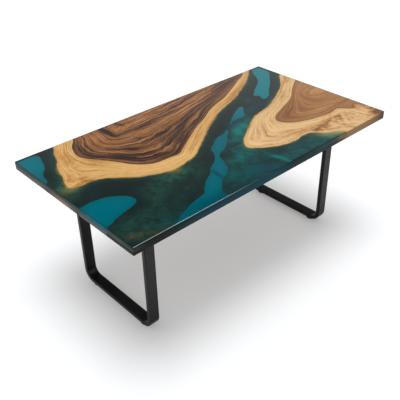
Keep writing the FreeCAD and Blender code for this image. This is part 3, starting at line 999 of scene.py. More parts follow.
RIGHT_TONES = (
    Patch((0.96, -0.08), (0.06, 0.05), 0.20),
    Patch((0.82, -0.11), (0.02, 0.06), -0.16, -8.0),
    Patch((0.58, -0.25), (0.12, 0.06), -0.16, 20.0),
    Patch((0.78, -0.46), (0.14, 0.03), 0.16),
    Patch((0.90, -0.50), (0.14, 0.015), -0.16),
    Patch((0.28, -0.31), (0.06, 0.03), -0.05, 30.0),
    Patch((0.13, -0.47), (0.05, 0.03), 0.18, -20.0),
    Patch((0.94, 0.34), (0.08, 0.03), 0.14, 40.0),
    Patch((0.63, -0.70), (0.14, 0.042), -0.24),
    Patch((0.50, -0.74), (0.022, 0.012), -0.20, -20.0),
    Patch((0.557, -0.72), (0.020, 0.015), -0.12),
    Patch((0.617, -0.635), (0.030, 0.010), -0.14, 8.0),
    Patch((0.728, -0.687), (0.026, 0.018), -0.20, -30.0),
    Patch((0.709, -0.756), (0.020, 0.015), -0.14),
    Patch((0.668, -0.86), (0.012, 0.03), -0.16, 8.0),
    Patch((0.80, -0.80), (0.012, 0.05), -0.08, -50.0),
    Patch((0.90, -0.84), (0.06, 0.04), 0.06),
    Patch((0.97, -0.95), (0.045, 0.045), -0.65, 20.0),
    Patch((0.95, 0.38), (0.05, 0.03), -0.16, 40.0),
    Patch((0.85, 0.34), (0.12, 0.010), -0.22, 35.0),
    Patch((0.72, 0.12), (0.08, 0.008), -0.14, 33.0),
)
# Strength of the thin stripes, and of the burl's swirls and folds
LEFT_STRIPES = (
    Patch((-0.30, 0.15), (0.10, 0.06), 0.55),
    Patch((-0.65, 0.60), (0.06, 0.14), 0.30),
    Patch((0.25, 0.60), (0.35, 0.10), 0.25, 20.0),
    Patch((-0.05, 0.80), (0.28, 0.05), 0.40, 6.0),
    Patch((-0.45, 0.25), (0.06, 0.10), 0.25, 30.0),
)
RIGHT_STRIPES = (
    Patch((0.55, -0.15), (0.20, 0.10), 0.10),
    Patch((0.78, -0.50), (0.17, 0.03), 0.60),
)
RIGHT_BURL = (
    Patch((0.60, -0.75), (0.16, 0.05), 0.8),
    Patch((0.84, -0.80), (0.12, 0.06), 0.6),
    Patch((0.90, -0.95), (0.10, 0.05), 0.4),
)
LEFT_BURL = (
    Patch((-0.86, 0.17), (0.09, 0.035), 0.9),
    Patch((-0.80, 0.55), (0.03, 0.10), 0.5),
)
# Veils, washes, glints, shades and thin films of the resin
GREEN_VEILS = (
    Patch((-0.97, 0.17), (0.06, 0.07), 1.1),
    Patch((-0.44, -0.37), (0.12, 0.05), 0.85, -6.0),
    Patch((-0.60, -0.40), (0.10, 0.05), 0.25, 35.0),
    Patch((-0.66, -0.56), (0.12, 0.06), 0.26, 30.0),
    Patch((-0.48, -0.62), (0.12, 0.03), 0.25, 24.0),
    Patch((-0.88, -0.80), (0.15, 0.09), 0.40),
    Patch((0.52, -0.93), (0.10, 0.05), 1.5, -20.0),
    Patch((-0.86, 0.55), (0.03, 0.15), 0.25, -20.0),
    Patch((0.54, 0.37), (0.05, 0.03), 0.14, 28.0),
)
TEAL_WASHES = (
    Patch((0.17, -0.15), (0.13, 0.05), 0.95, 32.0),
    Patch((0.02, -0.50), (0.10, 0.10), 0.55),
    Patch((0.082, -0.84), (0.016, 0.07), 1.25, 8.0),
    Patch((0.30, -0.90), (0.20, 0.06), 0.55),
    Patch((0.53, -0.84), (0.10, 0.03), 0.40, -30.0),
    Patch((-0.12, -0.82), (0.16, 0.09), 0.45),
    Patch((-0.10, -0.58), (0.05, 0.05), 0.40),
    Patch((-0.25, -0.81), (0.04, 0.04), 0.25),
    Patch((-0.66, -0.95), (0.25, 0.05), 0.20),
    Patch((0.49, 0.32), (0.04, 0.03), 0.10, 30.0),
)
GOLD_GLINTS = (
    Patch((-0.925, -0.89), (0.05, 0.02), 0.55, -20.0),
    Patch((-0.97, 0.13), (0.04, 0.03), 0.6),
    Patch((-0.86, -0.96), (0.06, 0.015), 0.4),
    Patch((-0.42, -0.33), (0.03, 0.014), 0.7, 30.0),
)
DARK_SHADES = (
    Patch((0.02, -0.345), (0.06, 0.016), 0.85, 8.0),
    Patch((-0.012, -0.835), (0.035, 0.030), 0.75),
    Patch((0.21, -0.70), (0.05, 0.015), 0.5, -25.0),
    Patch((-0.10, -0.42), (0.03, 0.05), 0.4),
)
THIN_FILMS = (
    Patch((0.585, -1.0), (0.052, 0.09), 0.8),
    Patch((0.50, -0.88), (0.07, 0.045), 0.6, -35.0),
    Patch((0.40, -1.0), (0.10, 0.03), 0.16),
    Patch((0.07, -0.47), (0.03, 0.03), 0.35),
    Patch((-0.93, 0.14), (0.05, 0.035), 0.42),
    Patch((-0.87, 0.36), (0.025, 0.05), 0.3),
    Patch((-0.42, -0.30), (0.04, 0.03), 0.32),
)
# Colours of the board's cut sides
WOOD_SIDE_GLOWS = (
    Patch((0.0, 1.0), (3.0, 0.08), 1.0),
    Patch((1.0, 0.0), (0.08, 0.36), 1.0),
    Patch((0.82, -1.0), (0.16, 0.08), 0.95),
    Patch((0.66, -1.0), (0.09, 0.08), 0.8),
    Patch((0.975, -1.0), (0.045, 0.05), -0.28),
    Patch((-1.0, 0.10), (0.08, 0.10), 1.0),
)
SIDE_POOLS = (Patch((-1.0, -0.44), (0.05, 0.085), 1.6),)
SIDE_TINGES = (
    Patch((-0.20, -1.0), (0.26, 0.06), 1.9),
    Patch((-0.55, -1.0), (0.14, 0.06), 0.8),
    Patch((-0.02, -1.0), (0.08, 0.06), 0.8),
    Patch((0.37, -1.0), (0.14, 0.06), 1.2),
    Patch((0.96, 1.0), (0.08, 0.06), 1.8),
    Patch((1.0, 0.78), (0.05, 0.16), 1.8),
    Patch((-0.95, 1.0), (0.08, 0.06), 1.8),
)
# Painted reflection that lightens the pools towards the back, above zero, and painted shade that dims them at
# the front and along one stripe, below zero
POOL_LIGHTS = (
    Patch((0.78, 0.60), (0.36, 0.36), 1.0),
    Patch((0.33, 0.18), (0.14, 0.10), 0.25),
    Patch((-0.95, 0.80), (0.10, 0.14), 0.5),
    Patch((-0.285, -0.64), (0.016, 0.06), -1.0, -10.0),
    Patch((-0.45, -0.98), (0.30, 0.07), -0.8),
)
NAVY_WASHES = (
    Patch((0.44, 0.14), (0.09, 0.025), 0.7, 12.0),
    Patch((0.64, 0.18), (0.05, 0.02), 0.5, 28.0),
    Patch((0.22, 0.01), (0.08, 0.02), 0.6, 20.0),
    Patch((-0.10, -0.90), (0.16, 0.06), 0.6),
    Patch((0.05, -0.62), (0.10, 0.03), 0.3, 30.0),
)
# Painted reflection on the resin's left end, grey towards its foot
RESIN_SIDE_SHEENS = (
    Patch((-1.0, 0.40), (0.05, 0.40), 0.9),
    Patch((-1.0, -0.7), (0.05, 0.24), 0.8),
)


# Meshes


def merged_copy(node: str) -> bmesh.types.BMesh:
    """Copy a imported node's mesh with its loose triangles joined.

    Args:
        node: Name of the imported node.

    Returns:
        The joined copy.
    """
    mesh = bmesh.new()
    mesh.from_mesh(frame["nodes"][node].data)
    bmesh.ops.remove_doubles(mesh, verts=mesh.verts, dist=MERGE)
    return mesh


def finished_piece(name: str, mesh: bpy.types.Mesh, body: str, slot: Slot, *nodes: str) -> None:
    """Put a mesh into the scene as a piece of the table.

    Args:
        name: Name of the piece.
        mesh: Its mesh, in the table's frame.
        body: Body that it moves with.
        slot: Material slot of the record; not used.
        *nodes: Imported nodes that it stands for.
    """
    piece = bpy.data.objects.new(name, mesh)
    bpy.context.scene.collection.objects.link(piece)
    if nodes:
        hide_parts(*nodes)
    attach(piece, body)
    LOG.info("%s: %d vertices, %d faces", name, len(mesh.vertices), len(mesh.polygons))


@dataclass
class FineLid:
    """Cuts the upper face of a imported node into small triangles, with a live edge that wavers a little.

    The sizes are the distance between inner points, the least share of it that they keep from the rim, the
    distance between cuts of the outer walls, and the live edge's stray, with the pitches of its coarse and
    fine waves and the distance from the board's edge over which it fades in. The lid is made of the faces
    that lie within its room of the board's top.
    """

    board: Board
    grid: float = 0.005
    rim_share: float = 0.6
    wall_step: float = 0.010
    waver: float = 0.0028
    coarse_pitch: float = 28.0
    fine_pitch: float = 90.0
    fine_share: float = 0.7
    fade_start: float = 0.004
    fade_reach: float = 0.03
    lid_room: float = 1e-5

    def on_border(self, place: Vector) -> bool:
        """Tell whether a point lies on the outer edge of the board, or on its bevel."""
        return self.board.on_edge(place.x, place.y)

    def shift_ends(self, mesh: bmesh.types.BMesh) -> None:
        """Move the place where a live edge meets the board's front edge, above the slab's ledge.

        Args:
            mesh: Mesh of the node.
        """
        raised = [vert for vert in mesh.verts if vert.co.z > LEDGE_HEIGHT - MERGE]
        shifts = patch_strength(np.array([vert.co.xy for vert in raised]), END_SHIFTS, self.board)
        for vert, shift in zip(raised, shifts):
            vert.co.x += shift

    def cut_walls(self, mesh: bmesh.types.BMesh) -> None:
        """Cut the outer walls into upright strips, so that they can hold a pattern.

        Args:
            mesh: Mesh of the node.
        """
        for axis, reach in ((0, self.board.half_length), (1, self.board.half_width)):
            upright = [face for face in mesh.faces if abs(face.normal.z) < LEVEL]
            walls = [face for face in upright if all(self.on_border(vert.co) for vert in face.verts)]
            edges = dict.fromkeys(edge for wall in walls for edge in wall.edges)
            verts = dict.fromkeys(vert for wall in walls for vert in wall.verts)
            held = list(verts) + list(edges) + walls
            normal = Vector((axis == 0, axis == 1, 0))
            for place in np.arange(-reach + self.wall_step, reach - self.wall_step / 2, self.wall_step):
                result = bmesh.ops.bisect_plane(mesh, geom=held, plane_co=normal * place, plane_no=normal)
                held = result["geom"]

    def rim_loop(self, mesh: bmesh.types.BMesh) -> list[bmesh.types.BMVert]:
        """Order the open edge of the missing lid into one loop.

        Args:
            mesh: Mesh with an open rim.

        Returns:
            The rim's vertices in order.
        """
        start = next(edge for edge in mesh.edges if edge.is_boundary)
        loop = [start.verts[0], start.verts[1]]
        while True:
            links = [edge.other_vert(loop[-1]) for edge in loop[-1].link_edges if edge.is_boundary]
            following = next((vert for vert in links if vert is not loop[-2]), None)
            if following is None or following is loop[0]:
                return loop
            loop.append(following)

    def round_live_edge(self, mesh: bmesh.types.BMesh) -> list[bmesh.types.BMVert]:
        """Add points to the live edge, on a smooth curve through its packed corners.

        Args:
            mesh: Mesh with an open rim.

        Returns:
            All the points of the live edge.
        """
        loop = self.rim_loop(mesh)
        count = len(loop)
        border = [self.on_border(vert.co) for vert in loop]
        live = [not (border[i] and border[(i + 1) % count]) for i in range(count)]
        places = [vert.co.copy() for vert in loop]
        points = []
        for i, vert in enumerate(loop):
            if not live[i]:
                continue
            following = loop[(i + 1) % count]
            start, end = places[i], places[(i + 1) % count]
            before = places[i - 1] if live[i - 1] else 2 * start - end
            after = places[(i + 2) % count] if live[(i + 1) % count] else 2 * end - start
            pieces = max(1, math.ceil((end - start).length / self.grid))
            edge = next(link for link in vert.link_edges if link.other_vert(vert) is following)
            for step in range(1, pieces):
                _, added = bmesh.utils.edge_split(edge, vert, 1 / (pieces - step + 1))
                added.co = curve_point(before, start, end, after, step / pieces)
                points.append(added)
                vert = added
                edge = next(link for link in added.link_edges if following in link.verts)
            points.append(following)
        return points

    def sway(self, place: Vector) -> Vector:
        """Sideways stray of the live edge, the same in each run."""
        return Vector((noise.noise(place), noise.noise(place + NOISE_SHIFT), 0))

    def waver_live_edge(self, points: list[bmesh.types.BMVert]) -> None:
        """Let the live edge stray from its smooth curve.

        Args:
            points: Points of the live edge.
        """
        board = self.board
        for vert in points:
            gap = min(board.half_length - abs(vert.co.x), board.half_width - abs(vert.co.y))
            fade = min(1.0, max(0.0, (gap - self.fade_start) / self.fade_reach))
            fine = self.sway(vert.co * self.fine_pitch)
            sway = self.sway(vert.co * self.coarse_pitch) + self.fine_share * fine
            push = float(patch_strength(np.array([vert.co.xy]), EDGE_PUSHES, board)[0])
            vert.co += Vector((sway.x * self.waver + push, sway.y * self.waver, 0)) * fade

    def fan(self, mesh: bmesh.types.BMesh, wall: bmesh.types.BMFace) -> None:
        """Divide a wall into triangles from its lowest corner, so that none lies flat under the lid.

        Args:
            mesh: Mesh of the node.
            wall: The wall, which the triangles replace.
        """
        corners = list(wall.verts)
        low = min(range(len(corners)), key=lambda i: corners[i].co.z)
        rest = corners[low + 1:] + corners[:low]
        mesh.faces.remove(wall)
        for first, second in zip(rest, rest[1:]):
            mesh.faces.new((corners[low], first, second))

    def fill_lid(self, mesh: bmesh.types.BMesh) -> np.ndarray:
        """Fill the lid with small triangles.

        Args:
            mesh: Mesh with an open rim.

        Returns:
            The rim's loop in plan.
        """
        loop = self.rim_loop(mesh)
        rim = np.array([(vert.co.x, vert.co.y) for vert in loop])
        low, high = rim.min(axis=0), rim.max(axis=0)
        columns = np.arange(low[0], high[0], self.grid)
        rows = np.arange(low[1], high[1], self.grid * math.sqrt(3) / 2)
        x, y = np.meshgrid(columns, rows)
        x[1::2] += self.grid / 2
        points = np.column_stack([x.ravel(), y.ravel()])
        points = points[inside(points, rim)]
        points = points[segment_distance(points, np.vstack([rim, rim[:1]])) > self.rim_share * self.grid]
        count = len(loop)
        flat = [Vector(point) for point in np.vstack([rim, points])]
        edges = [(i, (i + 1) % count) for i in range(count)]
        faces = delaunay_2d_cdt(flat, edges, [], 1, 1e-9)[2]
        top = max(vert.co.z for vert in loop)
        verts = loop + [mesh.verts.new((point[0], point[1], top)) for point in points]
        for corners in faces:
            mesh.faces.new([verts[i] for i in corners])
        return rim

    def build(self, node: str) -> tuple[bmesh.types.BMesh, np.ndarray]:
        """Make the fine mesh of one node.

        Args:
            node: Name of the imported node.

        Returns:
            The closed mesh, and the loop of its lid in plan.
        """
        mesh = merged_copy(node)
        self.shift_ends(mesh)
        level = [face for face in mesh.faces if face.normal.z > LEVEL]
        lid = [face for face in level if abs(face.calc_center_median().z - self.board.top) < self.lid_room]
        bmesh.ops.delete(mesh, geom=lid, context="FACES")
        self.cut_walls(mesh)
        points = self.round_live_edge(mesh)
        self.waver_live_edge(points)
        for wall in dict.fromkeys(face for vert in points for face in vert.link_faces if len(face.verts) > 3):
            self.fan(mesh, wall)
        rim = self.fill_lid(mesh)
        bmesh.ops.recalc_face_normals(mesh, faces=mesh.faces)
        return mesh, rim


def store_fields(mesh: bpy.types.Mesh, fields: dict[str, np.ndarray]) -> None:
    """Keep numbers at the vertices of a mesh.

    Args:
        mesh: The mesh.
        fields: Numbers of each named field, one for each vertex.
    """
    for name, values in fields.items():
        attribute = mesh.attributes.new(name, "FLOAT", "POINT")
        attribute.data.foreach_set("value", values.astype(np.float32))


def plan_of(mesh: bpy.types.Mesh) -> np.ndarray:
    """Read the places of a mesh's vertices in plan.

    Args:
        mesh: The mesh.

    Returns:
        The places, one a row.
    """
    places = np.empty(len(mesh.vertices) * 3, np.float32)
    mesh.vertices.foreach_get("co", places)
    return places.reshape(-1, 3)[:, :2].astype(float)


@dataclass(frozen=True)
class SlabFigure:
    """Lines and patches of one slab's wood."""

    heart: Outline
    core: Outline
    heart_width: float
    tones: tuple[Patch, ...]
    burl: tuple[Patch, ...]
    stripes: tuple[Patch, ...]
    stripe_level: float


@dataclass
class TableTop:
    """The two slabs and the resin casting round them.

    The true distance from the heart's border is kept within its border band. A painted shade darkens the
    bevelled edges at the left, rear and right; along the resin's front edge it fades out to the left of the
    middle, where the softbox lights the bevel.
    """

    board: Board
    sapwood_width: float = 0.12
    border_band: float = 0.008
    front_fade: float = 0.20
    front_lift: float = 0.01
    live_rims: list[np.ndarray] = field(default_factory=list)

    def live_part(self, rim: np.ndarray) -> np.ndarray:
        """Find the stretch of a slab's rim that is live edge and not the board's own edge.

        Args:
            rim: Loop of the slab's lid in plan.

        Returns:
            The stretch, with one point of the board's edge at each end.
        """
        border = self.board.on_edge(rim[:, 0], rim[:, 1])
        starts = np.flatnonzero(border & ~np.roll(border, -1))
        return np.roll(rim, -int(starts[0]), axis=0)[: int((~border).sum()) + 2]

    def rings(self, plan: np.ndarray, figure: SlabFigure, live: np.ndarray) -> np.ndarray:
        """Lay growth rings over a slab.

        Args:
            plan: Points in plan, one a row.
            figure: Lines and patches of the slab's wood.
            live: Live edge of the slab.

        Returns:
            A share of the heartwood's width from its border to its core, deeper inside the core, and minus a
            share of the sapwood's width outside the border.
        """
        border, core = figure.heart.curve(self.board), figure.core.curve(self.board)
        from_heart = segment_distance(plan, border)
        from_live = segment_distance(plan, live)
        from_core = segment_distance(plan, core)
        in_sapwood = -self.sapwood_width * from_heart / np.maximum(from_heart + from_live, MERGE)
        soft = np.where(from_heart < self.border_band, from_heart, soft_distance(plan, border))
        in_heart = figure.heart_width * soft / (soft + from_core)
        in_core = figure.heart_width + from_core
        return np.where(inside(plan, border), np.where(inside(plan, core), in_core, in_heart), in_sapwood)

    def arris(self, plan: np.ndarray) -> np.ndarray:
        """Distance of each point from the left, rear and right edges of the board, for the painted shade
        along them.
        """
        return np.minimum(self.board.half_length - np.abs(plan[:, 0]), self.board.half_width - plan[:, 1])

    def fine_mesh(self, node: str, name: str) -> tuple[bpy.types.Mesh, np.ndarray]:
        """Make the mesh of a slab or of the resin.

        Args:
            node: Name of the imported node.
            name: Name of the mesh.

        Returns:
            The mesh, and the loop of its lid in plan.
        """
        shape, rim = FineLid(self.board).build(node)
        mesh = bpy.data.meshes.new(name)
        shape.to_mesh(mesh)
        shape.free()
        return mesh, rim

    def share_faces(self, mesh: bpy.types.Mesh, materials: tuple[bpy.types.Material, ...]) -> None:
        """Give each face of a mesh its material.

        Args:
            mesh: The mesh.
            materials: Materials of the upper face with its bevels, of the sides, and of the underside.
        """
        for material in materials:
            mesh.materials.append(material)
        for face in mesh.polygons:
            face.material_index = 2 if face.normal.z < -0.5 else int(face.normal.z < 0.5)

    def build_slab(self, side: Side, figure: SlabFigure, finish: FiguredWood, cut: PolishedSide,
                   underside: bpy.types.Material) -> None:
        """Make one slab with its growth rings.

        Args:
            side: End of the table that the slab is on.
            figure: Lines and patches of its wood.
            finish: Finish of its upper face.
            cut: Finish of its sides.
            underside: Material of its lower face.
        """
        node = f"{side.word}_slab"
        name = f"{node}_wood"
        mesh, rim = self.fine_mesh(node, name)
        live = self.live_part(rim)
        self.live_rims.append(live)
        plan = plan_of(mesh)
        store_fields(mesh, {
            "ring": self.rings(plan, figure, live),
            "rim": segment_distance(plan, live),
            "tone": patch_strength(plan, figure.tones, self.board),
            "burl": patch_strength(plan, figure.burl, self.board),
            "stripe": figure.stripe_level + patch_strength(plan, figure.stripes, self.board),
            "glow": patch_strength(plan, WOOD_SIDE_GLOWS, self.board),
            "tinge": patch_strength(plan, SIDE_TINGES, self.board),
            "haze": patch_strength(plan, THIN_FILMS, self.board),
            "arris": self.arris(plan),
        })
        self.share_faces(mesh, (finish.build(), cut.build(), underside))
        finished_piece(name, mesh, "table", Slot.WALNUT, node)

    def build_resin(self, finish: CastResin, cut: PolishedSide, underside: bpy.types.Material) -> None:
        """Make the resin casting with its pools, depths and veils.

        Args:
            finish: Finish of its upper face.
            cut: Finish of its sides.
            underside: Material of its lower face.
        """
        node, name = "river_resin", "river_resin_cast"
        mesh, _ = self.fine_mesh(node, name)
        plan = plan_of(mesh)
        board = self.board
        soft_fields = {
            "veil": GREEN_VEILS, "wash": TEAL_WASHES, "gold": GOLD_GLINTS, "glow": RESIN_SIDE_SHEENS,
            "tinge": SIDE_TINGES, "shine": SIDE_POOLS, "light": POOL_LIGHTS, "navy": NAVY_WASHES,
            "shade": DARK_SHADES, "haze": THIN_FILMS, "film": THIN_FILMS,
        }
        fields = {key: patch_strength(plan, patches, board) for key, patches in soft_fields.items()}
        fields["pool"] = np.max([pool.depth(plan, board) for pool in TEAL_POOLS], axis=0)
        fields["bank"] = np.min([segment_distance(plan, live) for live in self.live_rims], axis=0)
        # Distance from the right and rear edges, for the pools' painted shade band
        fields["border"] = np.minimum(board.half_length - plan[:, 0], board.half_width - plan[:, 1])
        # Painted shade along the front edge too, lifted to the left of the middle, where the softbox lights
        # the bevel
        lit = np.clip(0.5 - plan[:, 0] / self.front_fade, 0, 1)
        fields["arris"] = np.minimum(self.arris(plan), board.half_width + plan[:, 1] + self.front_lift * lit)
        # A ring below zero everywhere: resin has no heartwood
        fields["ring"] = np.full(len(plan), -1.0)
        store_fields(mesh, fields)
        self.share_faces(mesh, (finish.build(), cut.build(), underside))
        finished_piece(name, mesh, "table", Slot.RESIN, node)


# Pieces grown by geometry nodes


def geometry_tree(name: str, inputs: dict[str, str]) -> tuple[Wiring, dict]:
    """Start a geometry node tree.

    Args:
        name: Name of the tree.
        inputs: Socket kind of each named input.

    Returns:
        The tree's wiring, and the socket of each input.
    """
    tree = bpy.data.node_groups.new(name, "GeometryNodeTree")
    for key, kind in inputs.items():
        tree.interface.new_socket(key, in_out="INPUT", socket_type=f"NodeSocket{kind}")
    tree.interface.new_socket("Geometry", in_out="OUTPUT", socket_type="NodeSocketGeometry")
    wiring = Wiring(tree)
    start = wiring.add("NodeGroupInput", {})
    return wiring, {key: start.outputs[key] for key in inputs}


def close_tree(wiring: Wiring, geometry: Socket, material: Socket) -> bpy.types.NodeTree:
    """End a geometry node tree in plain geometry with one material.

    Args:
        wiring: Wiring of the tree.
        geometry: What the tree has made.
        material: Its material.

    Returns:
        The finished tree.
    """
    real = wiring.socket("GeometryNodeRealizeInstances", {0: geometry})
    dressed = wiring.socket("GeometryNodeSetMaterial", {"Geometry": real, "Material": material})
    wiring.add("NodeGroupOutput", {0: dressed})
    return wiring.tree


def grown_mesh(name: str, tree: bpy.types.NodeTree, seed: bpy.types.Mesh, values: dict[str, object],
               even_shading: bool = False) -> bpy.types.Mesh:
    """Grow a plain mesh with a geometry node tree.

    Args:
        name: Name of the new mesh.
        tree: The tree.
        seed: Mesh that the tree starts from.
        values: Value of each named input.
        even_shading: Whether large faces stay flat between rounded corners.

    Returns:
        The grown mesh.
    """
    maker = bpy.data.objects.new(f"{name}_maker", seed)
    bpy.context.scene.collection.objects.link(maker)
    modifier = maker.modifiers.new("grow", "NODES")
    modifier.node_group = tree
    for item in tree.interface.items_tree:
        if item.in_out == "INPUT" and item.name in values:
            modifier[item.identifier] = values[item.name]
    if even_shading:
        maker.modifiers.new("even", "WEIGHTED_NORMAL")
    graph = bpy.context.evaluated_depsgraph_get()
    mesh = bpy.data.meshes.new_from_object(maker.evaluated_get(graph))
    mesh.name = name
    maker.modifiers.clear()
    bpy.data.objects.remove(maker)
    return mesh


def line_mesh(name: str, points: list[tuple[float, float, float]], closed: bool = False) -> bpy.types.Mesh:
    """Make a mesh of edges through points.

    Args:
        name: Name of the mesh.
        points: The points in order.
        closed: Whether an edge joins the last point to the first.

    Returns:
        The mesh.
    """
    mesh = bpy.data.meshes.new(name)
    edges = [(i, i + 1) for i in range(len(points) - 1)]
    if closed:
        edges.append((len(points) - 1, 0))
    mesh.from_pydata(points, edges, [])
    return mesh


@dataclass
class LegFrames:
    """Two U-shaped legs of bent flat tube, each welded under a plate."""

    coat: bpy.types.Material
    tube_depth: float = 0.025
    corner_radius: float = 0.004
    bend_radius: float = 0.0525
    bend_pieces: int = 20
    corner_pieces: int = 5
    weld_radius: float = 0.0024
    weld_step: float = 0.0021
    weld_sides: int = 8
    weld_rings: int = 5
    weld_least: tuple[float, float, float] = (0.85, 0.85, 0.75)
    weld_most: tuple[float, float, float] = (1.15, 1.15, 1.0)
    weld_seed: int = 5

    def tube_tree(self) -> bpy.types.NodeTree:
        """Draw a rounded flat section along a path with rounded bends.

        Returns:
            The tree.
        """
        sizes = {"Path": "Geometry", "Width": "Float", "Depth": "Float", "Corner Radius": "Float",
                 "Bend Radius": "Float", "Material": "Material"}
        wiring, given = geometry_tree("bent_tube", sizes)
        path = wiring.socket("GeometryNodeMeshToCurve", {"Mesh": given["Path"]})
        bends = {"Curve": path, "Count": self.bend_pieces, "Radius": given["Bend Radius"],
                 "Limit Radius": True}
        path = wiring.socket("GeometryNodeFilletCurve", bends, mode="POLY")
        across = {"Curve": path, "Normal": (1.0, 0.0, 0.0)}
        path = wiring.socket("GeometryNodeSetCurveNormal", across, mode="FREE")
        flat = {"Width": given["Width"], "Height": given["Depth"]}
        section = wiring.socket("GeometryNodeCurvePrimitiveQuadrilateral", flat, mode="RECTANGLE")
        corners = {"Curve": section, "Count": self.corner_pieces, "Radius": given["Corner Radius"]}
        section = wiring.socket("GeometryNodeFilletCurve", corners, mode="POLY")
        sweep = {"Curve": path, "Profile Curve": section, "Fill Caps": True}
        tube = wiring.socket("GeometryNodeCurveToMesh", sweep)
        return close_tree(wiring, wiring.socket("GeometryNodeSetShadeSmooth", {0: tube}), given["Material"])

    def weld_tree(self) -> bpy.types.NodeTree:
        """Lay overlapping weld scales along a path.

        Returns:
            The tree.
        """
        sizes = {"Path": "Geometry", "Radius": "Float", "Step": "Float", "Corner Radius": "Float",
                 "Material": "Material"}
        wiring, given = geometry_tree("weld_scales", sizes)
        path = wiring.socket("GeometryNodeMeshToCurve", {"Mesh": given["Path"]})
        corners = {"Curve": path, "Count": self.corner_pieces, "Radius": given["Corner Radius"]}
        path = wiring.socket("GeometryNodeFilletCurve", corners, mode="POLY")
        steps = {"Curve": path, "Length": given["Step"]}
        path = wiring.socket("GeometryNodeResampleCurve", steps, mode="LENGTH")
        ball = {"Segments": self.weld_sides, "Rings": self.weld_rings, "Radius": given["Radius"]}
        scale = wiring.socket("GeometryNodeMeshUVSphere", ball)
        scale = wiring.socket("GeometryNodeSetShadeSmooth", {0: scale})
        spread = {"Min": self.weld_least, "Max": self.weld_most, "Seed": self.weld_seed}
        size = wiring.socket("FunctionNodeRandomValue", spread, data_type="FLOAT_VECTOR")
        scales = {"Points": path, "Instance": scale, "Scale": size}
        return close_tree(wiring, wiring.socket("GeometryNodeInstanceOnPoints", scales), given["Material"])

    def build(self) -> None:
        """Make both legs and their welds."""
        tube_tree, weld_tree = self.tube_tree(), self.weld_tree()
        depth = self.tube_depth
        shared = {"Corner Radius": self.corner_radius, "Material": self.coat}
        for side in Side:
            node = f"{side.word}_leg_frame"
            low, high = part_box(node)
            x = (low.x + high.x) / 2
            width = high.x - low.x
            half = depth / 2
            front, rear = low.y + half, high.y - half
            path = [(x, front, high.z), (x, front, low.z + half), (x, rear, low.z + half), (x, rear, high.z)]
            values = {"Width": width, "Depth": depth, "Bend Radius": self.bend_radius, **shared}
            seed = line_mesh(f"{node}_path", path)
            tube = grown_mesh(f"{node}_tube", tube_tree, seed, values, even_shading=True)
            finished_piece(f"{node}_tube", tube, "table", Slot.STEEL, node)
            for row, y in ((Row.FRONT, front), (Row.REAR, rear)):
                name = f"{side.word}_{row.word}_weld"
                reach = ((-width, -depth), (width, -depth), (width, depth), (-width, depth))
                ring = [(x + dx / 2, y + dy / 2, high.z) for dx, dy in reach]
                values = {"Radius": self.weld_radius, "Step": self.weld_step, **shared}
                weld = grown_mesh(name, weld_tree, line_mesh(f"{name}_path", ring, closed=True), values)
                finished_piece(name, weld, "table", Slot.STEEL)


